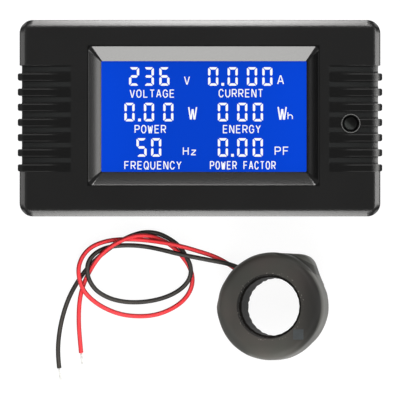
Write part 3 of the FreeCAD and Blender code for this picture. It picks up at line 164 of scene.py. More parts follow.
# The gap between two letters, as a share of a letter's width
LETTER_GAP = 0.3
ROUND = [(1.2, 0), (2.8, 0), (4, 1.5), (4, 4.5), (2.8, 6), (1.2, 6), (0, 4.5), (0, 1.5), (1.2, 0)]
BOWL = [(0, 0), (0, 6), (2.9, 6), (4, 5.3), (4, 3.5), (2.9, 2.8), (0, 2.8)]
LETTERS = {
    "A": [[(0, 0), (1.75, 6), (2.25, 6), (4, 0)], [(0.7, 2), (3.3, 2)]],
    "C": [[(4, 1.5), (2.8, 0), (1.2, 0), (0, 1.5), (0, 4.5), (1.2, 6), (2.8, 6), (4, 4.5)]],
    "E": [[(3.9, 0), (0.2, 0), (0.2, 6), (3.9, 6)], [(0.2, 3.1), (3.5, 3.1)]],
    "F": [[(0.2, 0), (0.2, 6), (3.9, 6)], [(0.2, 3.1), (3.5, 3.1)]],
    "G": [[
        (4, 4.5), (2.8, 6), (1.2, 6), (0, 4.5), (0, 1.5), (1.2, 0), (2.8, 0), (4, 1.2), (4, 2.8), (2.4, 2.8),
    ]],
    "H": [[(0, 0), (0, 6)], [(4, 0), (4, 6)], [(0, 3.1), (4, 3.1)]],
    "L": [[(0.3, 6), (0.3, 0), (3.8, 0)]],
    "N": [[(0, 0), (0, 6), (0.5, 6), (3.5, 0), (4, 0), (4, 6)]],
    "O": [ROUND],
    "P": [BOWL],
    "Q": [ROUND, [(2.3, 1.8), (4.1, -0.5)]],
    "R": [BOWL, [(1.9, 2.8), (4, 0)]],
    "T": [[(0, 6), (4, 6)], [(2, 6), (2, 0)]],
    "U": [[(0, 6), (0, 1.5), (1.2, 0), (2.8, 0), (4, 1.5), (4, 6)]],
    "V": [[(0, 6), (1.75, 0), (2.25, 0), (4, 6)]],
    "W": [[(0, 6), (0.9, 0), (1.3, 0), (1.8, 4.6), (2.2, 4.6), (2.7, 0), (3.1, 0), (4, 6)]],
    "Y": [[(0, 6), (2, 2.9), (4, 6)], [(2, 2.9), (2, 0)]],
    "h": [[(0, 0), (0, 6)], [(0, 2.6), (1.3, 3.7), (2.8, 3.7), (4, 2.6), (4, 0)]],
    "z": [[(0.5, 3.8), (3.7, 3.8), (3.7, 3.4), (0.5, 0.4), (0.5, 0), (3.9, 0)]],
}
# The bars of a seven-bar figure that each number lights
LIT_BARS = {"0": "abcdef", "2": "abged", "3": "abgcd", "5": "afgcd", "6": "afgecd", ".": "."}

METAL = {"Metallic": 1.0}
# The finishes of the plain pieces: the two colours of the tone, the roughness and how far it spreads, the
# sizes of patch, grain and relief in mm, the shader's other sockets, and the CAD nodes that get it
FINISHES = {
    "case": [
        # ABS, moulded against a finely blasted steel tool: an even satin black
        ("abs_moulded_satin", "#151616", "#191a1a", 0.46, 0.05, 12.0, 0.35, 0.004, {"IOR": 1.53},
         "rear_housing"),
        # Acetal, moulded: slightly waxy and a little glossier than the case
        ("acetal_moulded", "#121313", "#171818", 0.36, 0.04, 6.0, 0.5, 0.002, {"IOR": 1.48},
         "panel_clip_left panel_clip_right"),
        # Steel, zinc plated and blue passivated: bright with a faint cold tint
        ("steel_zinc_plated", "#b9bfc4", "#a7acb2", 0.3, 0.06, 1.2, 0.12, 0.002, METAL,
         "case_screws board_screws"),
    ],
    "button": [
        # Acetal, moulded: plain black with a waxy shine
        ("acetal_moulded_black", "#0d0e0e", "#121313", 0.3, 0.04, 2.0, 0.3, 0.002, {"IOR": 1.48},
         "switch_plunger"),
        # Glass-filled nylon, moulded: matt near-black
        ("nylon_moulded_matt", "#202122", "#28292a", 0.6, 0.06, 2.0, 0.2, 0.006, {"IOR": 1.53},
         "switch_body"),
        # Spring steel, rolled: bright grey with fine rolling lines
        ("steel_rolled_bright", "#c2c3c4", "#b2b3b4", 0.25, 0.05, 0.8, 0.1, 0.001, METAL, "switch_dome"),
    ],
    "display": [
        # Triacetate film, cast and smooth: blue from the dye in it
        ("triacetate_film_cast", "#1238a0", "#143ca8", 0.12, 0.02, 10.0, 0.4, 0.0005, {"IOR": 1.49},
         "lcd_rear_polariser"),
        # Soda-lime glass, floated: clear, with a faint green edge
        ("soda_glass_floated", "#dcefe8", "#d4ebe2", 0.03, 0.01, 20.0, 2.0, 0.0002,
         {"IOR": 1.52, "Transmission_Weight": 0.9}, "lcd_front_glass lcd_rear_glass"),
        # Acrylic, cast: water clear
        ("acrylic_cast", "#eef6fb", "#e6f0f8", 0.06, 0.02, 15.0, 1.0, 0.0005,
         {"IOR": 1.49, "Transmission_Weight": 0.85}, "backlight_guide"),
        # Polyester film, matt: milky white
        ("polyester_film_matt", "#eeeeec", "#e6e6e4", 0.5, 0.05, 8.0, 0.3, 0.002, {"IOR": 1.57},
         "backlight_diffuser backlight_reflector"),
        # Polycarbonate, moulded white: clean, slightly warm
        ("polycarbonate_moulded_white", "#e3e3de", "#dadad4", 0.4, 0.05, 6.0, 0.4, 0.003, {"IOR": 1.58},
         "lcd_frame"),
        # Epoxy, cast over the light's die: cloudy cream
        ("epoxy_cast_cloudy", "#f2eccb", "#ebe4bb", 0.2, 0.04, 0.8, 0.2, 0.001, {"IOR": 1.54},
         "backlight_leds"),
    ],
    "terminals": [
        # Nylon 66, moulded green: satin with a slight bloom
        ("nylon_moulded_green", "#1c6b3a", "#227642", 0.44, 0.06, 5.0, 0.3, 0.004, {"IOR": 1.53},
         "terminal_block"),
        # Brass, stamped and tin plated: pale metal, warm at the cut edges
        ("brass_tin_plated", "#c4bda6", "#b1a98e", 0.3, 0.06, 1.0, 0.15, 0.002, METAL, "terminal_contacts"),
        # Steel, nickel plated: bright with a warm grey
        ("steel_nickel_plated", "#c3bfb6", "#aeaaa1", 0.26, 0.06, 0.8, 0.12, 0.002, METAL,
         "terminal_screw_1 terminal_screw_2 terminal_screw_3 terminal_screw_4"),
        # Steel, zinc plated clamp: duller grey from tumbling
        ("steel_zinc_tumbled", "#a9adb0", "#989c9f", 0.42, 0.08, 0.7, 0.2, 0.004, METAL,
         "terminal_cage_1 terminal_cage_2 terminal_cage_3 terminal_cage_4"),
    ],
    "board": [
        # Glass-epoxy board under green solder mask: glossy, with the weave just felt
        ("solder_mask_green", "#145a35", "#186640", 0.3, 0.05, 7.0, 0.5, 0.006, {"IOR": 1.55}, "main_board"),
        # Epoxy, transfer moulded: matt charcoal
        ("epoxy_moulded_chip", "#232425", "#2a2b2c", 0.6, 0.06, 1.5, 0.15, 0.005, {"IOR": 1.55},
         "bridge_rectifier voltage_regulator metering_chip controller_chip memory_chip chip_resistors"),
        # Copper alloy, bright tin plate: mirror-like grey
        ("tin_plated_bright", "#c9cacb", "#b8b9ba", 0.22, 0.05, 0.6, 0.12, 0.001, METAL,
         "lcd_pins switch_terminals crystal"),
        # Polyester capacitor case, moulded yellow: satin
        ("polyester_moulded_yellow", "#c98a1e", "#d19428", 0.4, 0.05, 3.0, 0.3, 0.003, {"IOR": 1.57},
         "box_capacitor"),
        # Flameproof lacquer, dipped: matt grey-green
        ("lacquer_dipped_grey", "#8d977f", "#959f88", 0.55, 0.06, 1.5, 0.25, 0.006, {"IOR": 1.5},
         "fuse_resistor"),
        # Epoxy, dipped blue: glossy and slightly uneven
        ("epoxy_dipped_blue", "#1e4a9a", "#2452a4", 0.25, 0.05, 2.0, 0.8, 0.02, {"IOR": 1.55}, "varistor"),
        # Aluminium can, drawn: bright with a soft haze
        ("aluminium_drawn", "#cfd0d1", "#bfc0c1", 0.28, 0.06, 1.5, 0.1, 0.001, METAL,
         "electrolytic_capacitor"),
    ],
    "sensor": [
        # Ferrite, sintered: dull slate
        ("ferrite_sintered", "#3a3b3d", "#424345", 0.65, 0.06, 2.0, 0.2, 0.006, {}, "sensor_core"),
        # Copper wire, enamelled: red-brown with a varnish shine
        ("copper_enamelled", "#9a4a22", "#a8552a", 0.3, 0.06, 1.0, 0.25, 0.01,
         {"Metallic": 1.0, "Coat_Weight": 0.6}, "sensor_winding"),
        # Tin solder, flowed: bright and slightly lumpy
        ("solder_flowed", "#c6c7c8", "#b4b5b6", 0.25, 0.06, 0.8, 0.5, 0.02, METAL, "sensor_joints"),
        # Paper sticker, coated and bare: slate blue with a soft sheen
        ("paper_coated_slate", "#2c3033", "#323739", 0.5, 0.05, 1.5, 0.3, 0.003, {"IOR": 1.5},
         "sensor_sticker"),
    ],
}


def linear(code):
    """An sRGB hex colour as linear red, green, blue and full cover."""
    values = [int(code[i:i + 2], 16) / 255 for i in (1, 3, 5)]
    return tuple(v / 12.92 if v <= 0.04045 else ((v + 0.055) / 1.055) ** 2.4 for v in values) + (1.0,)


def add_node(tree, kind, *inputs, stops=(), **named):
    """A new node of that kind, which may be followed by its operation or its type of data. Its inputs come in
    their order, or by a name with capitals, each as a value, a hex colour or the output to link, where a node
    stands for its first output. A name in small letters is a setting, and stops are a ramp's."""
    kind, *modes = kind.split()
    node = tree.nodes.new("ShaderNode" + kind)
    for mode in modes:
        setattr(node, "data_type" if kind == "Mix" else "operation", mode)
    for name, value in named.items():
        if name.islower():
            setattr(node, name, value)
    if stops:
        ramp = node.color_ramp.elements
        while len(ramp) < len(stops):
            ramp.new(0.5)
        for stop, (place, colour) in zip(ramp, stops):
            stop.position = place
            stop.color = linear(colour) if isinstance(colour, str) else colour
    given = list(zip([socket for socket in node.inputs if socket.enabled], inputs))
    for name, value in named.items():
        if not name.islower():
            given.append((node.inputs[name.replace("_", " ")], value))
    for socket, value in given:
        if isinstance(value, bpy.types.Node):
            value = next(output for output in value.outputs if output.enabled)
        if isinstance(value, bpy.types.NodeSocket):
            tree.links.new(value, socket)
        else:
            socket.default_value = linear(value) if isinstance(value, str) else value
    return node


def node_adder(owner):
    """What adds a node to this material or world, whose nodes are cleared."""
    owner.use_nodes = True
    owner.node_tree.nodes.clear()
    return partial(add_node, owner.node_tree)


def new_material(name):
    """An empty material, what adds a node to it, and the place on the object for its patterns."""
    material = bpy.data.materials.new(name)
    add = node_adder(material)
    return material, add, add("TexCoord").outputs["Object"]


def coat(add, **sockets):
    """Ends a material with its shader, which gets these sockets, and its output."""
    add("OutputMaterial", add("BsdfPrincipled", **sockets))


def greys(add, value, tones):
    """A grey along a value in metres, from a table of places in mm and tones."""
    low, high = tones[0][0], tones[-1][0]
    share = add("MapRange", value, low * MM, high * MM)
    stops = [((place - low) / (high - low), (tone, tone, tone, 1.0)) for place, tone in tones]
    return add("ValToRGB", share, stops=stops)


def seen_by(add, *rays):
    """1 for these rays of the Light Path node, and 0 for all others."""
    path = add("LightPath")
    seen = 0.0
    for ray in rays:
        seen = add("Math MAXIMUM", seen, path.outputs[ray])
    return seen


def surface(name, colour, shade, roughness, spread, patch, grain, relief, sockets):
    """A surface whose tone drifts between two colours over patches, with a fine grain in its gloss and its
    relief. Patch, grain and relief are real sizes in mm."""
    material, add, place = new_material(name)
    drift = add("TexNoise", place, 1 / (patch * MM), 3.0)
    tone = add("ValToRGB", drift, stops=[(0.35, colour), (0.65, shade)])
    fine = add("TexNoise", place, 1 / (grain * MM), 2.0)
    gloss = add("MapRange", fine, 0.3, 0.7, roughness - spread, roughness + spread)
    bump = add("Bump", Strength=1.0, Distance=relief * MM, Height=fine)
    coat(add, Base_Color=tone, Roughness=gloss, Normal=bump, **sockets)
    return material


def dress(material, *nodes):
    """Gives these CAD nodes the material, and their real shape stays as it is."""
    for name in nodes:
        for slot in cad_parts[name].material_slots:
            slot.material = material


def dress_group(group):
    """Gives every plain piece of the group its finish."""
    for *values, nodes in FINISHES[group]:
        dress(surface(*values), *nodes.split())


def add_object(name, data, material):
    """A new object in the scene, with its material."""
    thing = bpy.data.objects.new(name, data)
    bpy.context.scene.collection.objects.link(thing)
    data.materials.clear()
    data.materials.append(material)
    return thing


def mesh_from(work, name, smooth):
    """Turns the work in progress into a mesh."""
    bmesh.ops.recalc_face_normals(work, faces=work.faces)
    mesh = bpy.data.meshes.new(name)
    work.to_mesh(mesh)
    work.free()
    mesh.polygons.foreach_set("use_smooth", [smooth] * len(mesh.polygons))
    return mesh


def skin(work, rings, closed=False):
    """Faces between rings of points, which go round in a loop or get a face over each end."""
    rings = [[work.verts.new(spot) for spot in ring] for ring in rings]
    for first, second in zip(rings, rings[1:] + rings[:closed]):
        for i in range(len(first)):
            work.faces.new((first[i - 1], first[i], second[i], second[i - 1]))
    if not closed:
        work.faces.new(rings[0])
        work.faces.new(rings[-1])


# Settings that a user would change

def length_setting(name, description, default):
    """A length in mm."""
    return FloatProperty(name=name, description=description, default=default * MM, unit="LENGTH")


def colour_setting(name, description, default):
    """A colour from a hex code."""
    code = linear(default)
    return FloatVectorProperty(name=name, description=description, default=code, subtype="COLOR", size=4)


def brightness_setting(name, description, default):
    """A lamp's brightness, or the tent's."""
    return FloatProperty(name=name, description=description, default=default, min=0)


class MeterLook(bpy.types.PropertyGroup):
    """Colours and finish of the meter's case."""

    face_colour: colour_setting("Face", "Moulded front", "#151515")
    grain: length_setting("Grain", "Spacing of the moulded grain", 0.35)
    edge: length_setting("Edge", "Softness of moulded edges", 0.12)


class DisplayLook(bpy.types.PropertyGroup):
    """Sizes and colours of the lit display."""

    blue: colour_setting("Blue", "Backlit field", "#003abc")
    white: colour_setting("White", "Lit bars", "#ffffff")
    figure_width: length_setting("Figure width", "Width of a number", 2.54)
    figure_height: length_setting("Figure height", "Height of a number", 4.62)
    bar: length_setting("Bar", "Thickness of a bar", 0.68)
    gap: length_setting("Gap", "Space between two bars", 0.09)
    film: length_setting("Film", "Thickness of the lit layer", 0.02)


class SensorLook(bpy.types.PropertyGroup):
    """Form of the ring's shrink sleeve."""

    cell: length_setting("Cell", "Size of the sleeve's mesh cells", 0.32)
    relaxing: IntProperty(name="Relaxing", description="Rounds of softening", default=6, min=0)
    creases: IntProperty(name="Creases", description="Facets round the bore", default=27, min=3)
    crease_depth: length_setting("Crease depth", "Depth of a facet", 0.2)


class LeadLook(bpy.types.PropertyGroup):
    """Sizes of the two leads."""

    diameter: length_setting("Diameter", "Across the insulation", 1.15)
    wire: length_setting("Wire", "Radius of one strand", 0.09)
    bare: length_setting("Bare", "Length of bare wire", 3.0)
    twist: FloatProperty(
        name="Twist", description="Turn of the strands over their length", default=math.radians(230),
        unit="ROTATION",
    )


class StageLook(bpy.types.PropertyGroup):
    """Camera, floor and lamps."""

    camera_height: length_setting("Camera height", "Height over the floor", 924.4)
    view_width: length_setting("View width", "Width seen at the meter's face", 99.66)
    front: brightness_setting("Front", "Brightness of the panel in front", 9.6)
    back: brightness_setting("Back", "Brightness of the panel behind", 20.0)
    back_low: brightness_setting("Back, low", "Brightness of the strip behind", 0.7)
    right: brightness_setting("Right", "Brightness of the panel on the right", 6.5)
    right_low: brightness_setting("Right, low", "Brightness of the strip on the right", 5.0)
    left: brightness_setting("Left", "Brightness of the panel on the left", 2.3)
    left_low: brightness_setting("Left, low", "Brightness of the strip on the left", 1.0)
    room: brightness_setting("Room", "Brightness of the light tent", 0.35)


# Stage

def light_panel(name, away, turn, width, low, high, brightness):
    """An upright soft panel that faces the set from that distance and direction, between two heights.
    Its brightness is 1 where its face would look white."""
    height = high - low
    data = bpy.data.lights.new(name, "AREA")
    data.shape = "RECTANGLE"
    data.size = width
    data.size_y = height
    data.energy = brightness * math.pi * width * height
    # A touch warmer than white
    data.color = (1.0, 0.992, 0.975)
    lamp = bpy.data.objects.new(name, data)
    bpy.context.scene.collection.objects.link(lamp)
    towards = Vector((math.cos(turn), math.sin(turn), 0))
    lamp.location = towards * away + Vector((0, 0, (low + high) / 2))
    lamp.rotation_euler = (-towards).to_track_quat("-Z", "Y").to_euler()
    lamp.visible_camera = False


def room_world(look):
    """A soft tent of light, with a dark foot and a dark opening above for the camera. To the eye it is
    white."""
    world = bpy.data.worlds.new("room")
    add = node_adder(world)
    ray = add("SeparateXYZ", add("TexCoord").outputs["Generated"])
    stops = [(height, (tone, tone, tone, 1.0)) for height, tone in TENT_TONES]
    cloth = add("ValToRGB", ray.outputs["Z"], stops=stops)
    tent = add("Background", cloth, look.room)
    backdrop = add("Background", "#ffffff", 1.0)
    # The dark front mirrors the tent, as it does in the photo, so mirrored rays aren't turned white here
    clear = seen_by(add, "Is Camera Ray", "Is Transmission Ray")
    add("OutputWorld", add("MixShader", clear, tent, backdrop))
    return world


def floor_material():
    """Matt white paper: clean white to the eye, with the object's soft shadow left on it."""
    material, add, place = new_material("paper_floor")
    # Paper fibres of about 0.4 mm
    fibre = add("TexNoise", place, 1 / (0.4 * MM), 2.0)
    bump = add("Bump", Strength=0.2, Distance=0.01 * MM, Height=fibre)
    paper = add("BsdfDiffuse", "#e6e6e6", Normal=bump)
    # To the eye and in mirror-like finishes the paper is white, and shade takes a little of that away
    faint = add("BsdfDiffuse", "#606060", Normal=bump)
    glow = add("Emission", "#ffffff", 0.93)
    white = add("AddShader", faint, glow)
    clear = seen_by(add, "Is Camera Ray", "Is Glossy Ray", "Is Transmission Ray")
    add("OutputMaterial", add("MixShader", clear, paper, white))
    return material


class PowerMeterStage(bpy.types.Operator):
    """Adds the camera straight above the set, the pale floor and the soft lamps."""

    bl_idname = "power_meter.stage"
    bl_label = "Stage"

    def execute(self, context):
        look = context.scene.stage_look
        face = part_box("front_bezel")[1].z
        data = bpy.data.cameras.new("camera")
        data.sensor_width = 36.0
        data.lens = data.sensor_width * (look.camera_height - face) / look.view_width
        camera = bpy.data.objects.new("camera", data)
        context.scene.collection.objects.link(camera)
        camera.location = (0, CAMERA_Y, look.camera_height)
        context.scene.camera = camera

        work = bmesh.new()
        corners = [(-1, -1), (1, -1), (1, 1), (-1, 1)]
        work.faces.new([work.verts.new((x * FLOOR_HALF, y * FLOOR_HALF, 0)) for x, y in corners])
        floor = add_object("floor", mesh_from(work, "floor", False), floor_material())

        # Tall narrow panels, for the bright lines on the case's rounded edges and window slopes: how far each
        # is and its direction in degrees, its width, its lower and upper edge, and its brightness
        for name, away, turn, *form in (
            ("front_panel", 0.6, -90, 0.18, 0.003, 1.4, look.front),
            ("back_panel", 0.6, 90, 0.13, 0.21, 1.4, look.back),
            ("back_strip", 0.6, 90, 0.18, 0.03, 0.2, look.back_low),
            ("right_panel", 0.5, 0, 0.18, 0.21, 0.9, look.right),
            ("right_strip", 0.5, 0, 0.2, 0.035, 0.095, look.right_low),
            ("right_middle", 0.5, 0, 0.2, 0.095, 0.16, look.right_low * 0.1),
            ("left_panel", 0.5, 180, 0.18, 0.18, 0.7, look.left),
            ("left_strip", 0.5, 180, 0.2, 0.035, 0.068, look.left_low),
        ):
            light_panel(name, away, math.radians(turn), *form)
        context.scene.world = room_world(look)
        context.scene.view_settings.view_transform = "Standard"
        return {"FINISHED"}


# Leads

def lead_curve(name, route, diameter, material):
    """A lead as one smooth curve through the air and over the floor."""
    curve = bpy.data.curves.new(name, "CURVE")
    curve.dimensions = "3D"
    curve.resolution_u = 8
    curve.bevel_depth = diameter / 2
    curve.bevel_resolution = 5
    curve.use_fill_caps = True
    spline = curve.splines.new("NURBS")
    spline.points.add(len(route) - 1)
    for point, place in zip(spline.points, route):
        point.co = (*place, 1)
    spline.order_u = 3
    spline.use_endpoint_u = True
    return add_object(name, curve, material)


def twisted_strands(name, route, look, material):
    """Tinned wires twisted together round a straight one, a little apart at their cut ends."""
    start = Vector(route[-1])
    way = (start - Vector(route[-2])).normalized()
    side = way.cross(Vector((0, 0, 1))).normalized()
    lift = side.cross(way)

    def round_way(angle):
        return side * math.cos(angle) + lift * math.sin(angle)

    work = bmesh.new()
    for wire in range(OUTER_WIRES + 1):
        rings = []
        for step in range(STRAND_STEPS + 1):
            along = step / STRAND_STEPS
            angle = wire * math.tau / OUTER_WIRES + look.twist * along
            # The outer wires touch the straight one, and stand off it by a quarter of a radius at the end
            out = 0.0 if wire == OUTER_WIRES else look.wire * (2.0 + 0.25 * along ** 3)
            # The wires are cut 0, 3 or 6 % short in turn
            middle = start + way * (look.bare * along * (1 - 0.03 * (wire % 3))) + round_way(angle) * out
            turns = [facet * math.tau / STRAND_FACETS for facet in range(STRAND_FACETS)]
            rings.append([middle + round_way(turn) * look.wire for turn in turns])
        skin(work, rings)
    return add_object(name, mesh_from(work, name, True), material)


def insulation(name, colour, shade, side):
    """Extruded soft PVC: even in colour, with painted shade that leaves it paler along its middle and darker
    as it turns away and to one side.
    """
    material, add, place = new_material(name)
    drift = add("TexNoise", place, 1 / (6 * MM), 3.0)
    tone = add("ValToRGB", drift, stops=[(0.35, colour), (0.65, shade)])
    turn = add("LayerWeight", 0.5).outputs["Facing"]
    painted_round_shade = add("ValToRGB", turn, stops=[(0.03, "#ffffff"), (0.34, side)])
    # One side, facing back and to the left, is painted darker, as painted shade
    normal = add("NewGeometry").outputs["Normal"]
    behind = add("VectorMath DOT_PRODUCT", normal, (-0.5, 0.86, 0))
    clean = add("ValToRGB", behind, stops=[(0.2, "#ffffff"), (0.8, side)])
    for layer in (painted_round_shade, clean):
        tone = add("Mix RGBA", 1.0, tone, layer, blend_type="MULTIPLY")
    gloss = add("MapRange", drift, 0, 1, 0.42, 0.52)
    coat(add, Base_Color=tone, Roughness=gloss, IOR=1.52, Specular_IOR_Level=0.2)
    return material


class PowerMeterLeads(bpy.types.Operator):
    """Lays the black lead and the red lead, each with its bare twisted end."""

    bl_idname = "power_meter.leads"
    bl_label = "Leads"

    def execute(self, context):
        look = context.scene.lead_look
        # Tinned copper wire, drawn: its thin tin coat gives a pale matt shine
        tinned = surface("tinned_copper_drawn", "#f4f4f2", "#e8e8e6", 0.7, 0.06, 1.0, 0.15, 0.002, METAL)
        for colour, tones, length, points in LEADS:
            route = [tuple(value * MM for value in point) for point in points]
            name = colour + "_cord"
            node = colour + "_lead"
            cord = lead_curve(name, route, look.diameter, insulation("soft_pvc_" + colour, *tones))
            strands = twisted_strands(name + "_strands", route, look, tinned)
            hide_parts(node)
            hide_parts(node + "_end")
            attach(cord, "sensor")
            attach(strands, "sensor")
        return {"FINISHED"}


# Case and button

def fall(add, value, size, start, full, end, most):
    """How far the face leans outwards: nothing before the start, the most at the full value, and less
    again from there to the end. The three are given in mm from the middle."""
    rise = add("MapRange", size, start * MM, full * MM, 0, most)
    drop = add("MapRange", size, full * MM, end * MM, 1, 0)
    lean = add("Math MULTIPLY", rise, drop)
    return add("Math MULTIPLY", lean, add("Math SIGN", value))


def zone(add, x, y, rectangle):
    """1 within a rectangle on the face and 0 outside it."""
    middle_x, half_width, middle_y, half_height = (value * MM for value in rectangle)
    across = add("Math COMPARE", x, middle_x, half_width)
    along = add("Math COMPARE", y, middle_y, half_height)
    return add("Math MULTIPLY", across, along)


def bezel_material(look):
    """ABS, moulded against a spark-eroded tool, with the window's slopes polished: a soft black face
    with small bright lines where its edges turn, some of them painted highlights, and painted shade inside
    the window and on the grips' ribs."""
    material, add, place = new_material("abs_spark_grained")
    x, y, z = add("SeparateXYZ", place).outputs
    across = add("Math ABSOLUTE", x)
    along = add("Math ABSOLUTE", y)
    drift = add("TexNoise", place, 1 / (18 * MM), 3.0)
    # The tone drifts up to 15 % lighter
    light = tuple(c * 1.15 for c in look.face_colour[:3]) + (1.0,)
    paint = add("ValToRGB", drift, stops=[(0.35, tuple(look.face_colour)), (0.65, light)])
    # The real grain is about 0.05 mm, too fine to show, so it is drawn at the look's spacing
    grain = add("TexNoise", place, 1 / look.grain, 2.0)
    # Inside the window the tool is polished, so the edges are crisp, and the black there is painted deeper,
    # as painted shade on the window's slopes
    window = zone(add, x, y, WINDOW)
    paint = add("Mix RGBA", window, paint, "#080808")
    # The grips' ribs are painted darker than the grooves between them, as painted shade, and lighter along
    # their edges, as painted highlights
    rows = zone(add, x, y, GRIP_ROWS)
    outside = add("Math SUBTRACT", 1.0, zone(add, x, y, BETWEEN_GRIPS))
    grip = add("Math MULTIPLY", rows, outside)
    below = add("Math SUBTRACT", RIB_TOP * MM, y)
    below = add("Math FLOORED_MODULO", below, RIB_PITCH * MM)
    down = add("MapRange", below, 0, RIB_PITCH * MM)
    rib, groove, edge = "#0b0b0b", "#1c1d1d", "#2b2b2b"
    plain = add("ValToRGB", down, stops=[(0.1, rib), (0.13, groove), (0.4, groove), (0.43, rib)])
    edged = add("ValToRGB", down, stops=[
        (0.0, edge), (0.05, rib), (0.1, rib), (0.13, groove), (0.4, groove), (0.43, rib),
        (0.53, rib), (0.56, edge), (0.6, edge), (0.63, rib), (0.96, rib), (1.0, edge),
    ])
    edge_highlight_share = add("MapRange", across, *(value * MM for value in RIB_EDGE_HIGHLIGHT))
    ribbed = add("Mix RGBA", edge_highlight_share, plain, edged)
    paint = add("Mix RGBA", grip, paint, ribbed)
    # The button's collar gets a thin bright ring, a painted highlight
    low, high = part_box("button_cap")
    off = add("VectorMath SUBTRACT", place, tuple((low + high) / 2))
    flat = add("VectorMath MULTIPLY", off, (1, 1, 0))
    away = add("VectorMath LENGTH", flat)
    collar = add("Math COMPARE", away, *(value * MM for value in COLLAR_HIGHLIGHT))
    paint = add("Mix RGBA", collar, paint, "#626261")
    smooth = add("Math MULTIPLY_ADD", window, -0.08, 0.2)
    gloss = add("Math MULTIPLY_ADD", grain, 0.04, smooth)
    soft_edge = add("Bevel", look.edge, samples=8)
    crisp = add("NewGeometry").outputs["Normal"]
    normal = add("Mix VECTOR", window, soft_edge, crisp)
    # The window's slopes are crowned, from 2 to 8 degrees flatter, and end in a thin flat lip
    crown = add("MapRange", z, 21.0 * MM, 24.4 * MM, 0.06, 0.2)
    lip = add("MapRange", z, 24.24 * MM, 24.32 * MM, 0, 5.0)
    crown = add("Math ADD", crown, lip)
    # The face falls away over its last 2 mm, in a flatter curve than the edge itself
    fall_x = fall(add, x, across, 42.9, 43.75, 44.2, 0.26)
    fall_y = fall(add, y, along, 22.3, 23.2, 23.7, 0.22)
    flatter_x = add("MapRange", across, 44.1 * MM, 45.0 * MM, 0, 0.85)
    flatter_y = add("MapRange", along, 23.7 * MM, 24.5 * MM, 0, 1.1)
    flatter = add("Math MAXIMUM", flatter_x, flatter_y)
    upper = add("MapRange", z, 22.6 * MM, 23.5 * MM)
    flatter = add("Math MULTIPLY", flatter, upper)
    lean = add("CombineXYZ", fall_x, fall_y, add("Mix", window, flatter, crown))
    leaned = add("VectorMath ADD", normal, lean)
    # The grips' ends curve alike over ribs and grooves
    side = add("Math SIGN", x)
    turned = add("Math MULTIPLY", greys(add, x, GRIP_TURN), side)
    end = add("CombineXYZ", turned, 0, 1.0)
    even = add("VectorMath MULTIPLY_ADD", soft_edge, (0.1, 0.1, 0.1), end)
    above = add("Math MULTIPLY", grip, upper)
    normal = add("Mix VECTOR", above, leaned, even)
    normal = add("VectorMath NORMALIZE", normal)
    depth = add("MapRange", window, 0, 1, 0.12, 0.03)
    bump = add("Bump", Strength=depth, Distance=0.008 * MM, Height=grain, Normal=normal)
    coat(add, Base_Color=paint, Roughness=gloss, Normal=bump, IOR=1.53)
    return material


class PowerMeterCase(bpy.types.Operator):
    """Gives the case, its clips and its screws their moulded and plated finishes."""

    bl_idname = "power_meter.case"
    bl_label = "Case"

    def execute(self, context):
        dress(bezel_material(context.scene.meter_look), "front_bezel")
        dress_group("case")
        return {"FINISHED"}


def cap_material():
    """ABS, moulded against a polished tool: deep black, its dished face painted greyer to one side as painted
    light.
    """
    material, add, place = new_material("abs_moulded_polished")
    low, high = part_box("button_cap")
    middle = (low + high) / 2
    cloud = add("TexNoise", place, 1 / (2 * MM), 2.0)
    off = add("VectorMath SUBTRACT", place, (middle.x, middle.y, 0))
    # The dish is painted greyer towards its front left, as painted light
    lit_side_share = add("VectorMath DOT_PRODUCT", off, (-1, -1, 0))
    spread = add("MapRange", lit_side_share, -1.5 * MM, 1.5 * MM)
    patchy = add("Math MULTIPLY_ADD", cloud, 0.2, spread)
    tone = add("ValToRGB", patchy, stops=[(0.1, "#020202"), (0.6, "#0b0c0b"), (0.95, "#2a2c2b")])
    # The dish leans inwards by 0.06 for each mm from the middle
    dish = add("VectorMath MULTIPLY_ADD", off, (-0.06 / MM, -0.06 / MM, 0), (0, 0, 1))
    height = add("SeparateXYZ", place).outputs["Z"]
    top = add("MapRange", height, high.z - 0.4 * MM, high.z - 0.25 * MM)
    side = add("NewGeometry").outputs["Normal"]
    normal = add("Mix VECTOR", top, side, dish)
    normal = add("VectorMath NORMALIZE", normal)
    gloss = add("MapRange", cloud, 0, 1, 0.26, 0.34)
    coat(add, Base_Color=tone, Roughness=gloss, Normal=normal, IOR=1.53, Specular_IOR_Level=0.2)
    return material


class PowerMeterButton(bpy.types.Operator):
    """Gives the push button and the switch under it their finishes."""

    bl_idname = "power_meter.button"
    bl_label = "Button and switch"

    def execute(self, context):
        dress(cap_material(), "button_cap")
        dress_group("button")
        return {"FINISHED"}


# Display

def bar_outlines(width, height, bar, gap):
    """The seven bars of a figure, each by its letter, from the figure's top left corner."""
    # The cut corners and slanted ends are shares of a bar's thickness
    cut = 0.5 * bar
    edge = bar - gap
    half = height / 2
    end = half - 0.34 * bar
    slope = 0.28 * bar
    top = [
        (cut * 0.6 + gap, -cut * 0.4), (cut + gap, 0), (width - cut - gap, 0),
        (width - cut * 0.6 - gap, -cut * 0.4), (width - bar - gap, -edge), (bar + gap, -edge),
    ]
    right = [
        (width - cut * 0.5 + gap * 0.2, -cut * 0.55), (width, -cut * 1.1), (width, -end + slope),
        (width - slope, -end), (width - bar + slope * 1.2, -end), (width - edge, -end + slope * 1.2),
        (width - edge, -bar - gap * 0.5),
    ]
    tip = 0.46 * bar
    inset = 0.55 * bar
    middle = [
        (inset, -half), (inset + tip, -half + tip), (width - inset - tip, -half + tip),
        (width - inset, -half), (width - inset - tip, -half - tip), (inset + tip, -half - tip),
    ]

    def left_of(points):
        return [(width - x, y) for x, y in points]

    def under(points):
        return [(x, -height - y) for x, y in points]

    return {
        "a": top, "b": right, "c": under(right), "d": under(top), "e": under(left_of(right)),
        "f": left_of(right), "g": middle,
    }


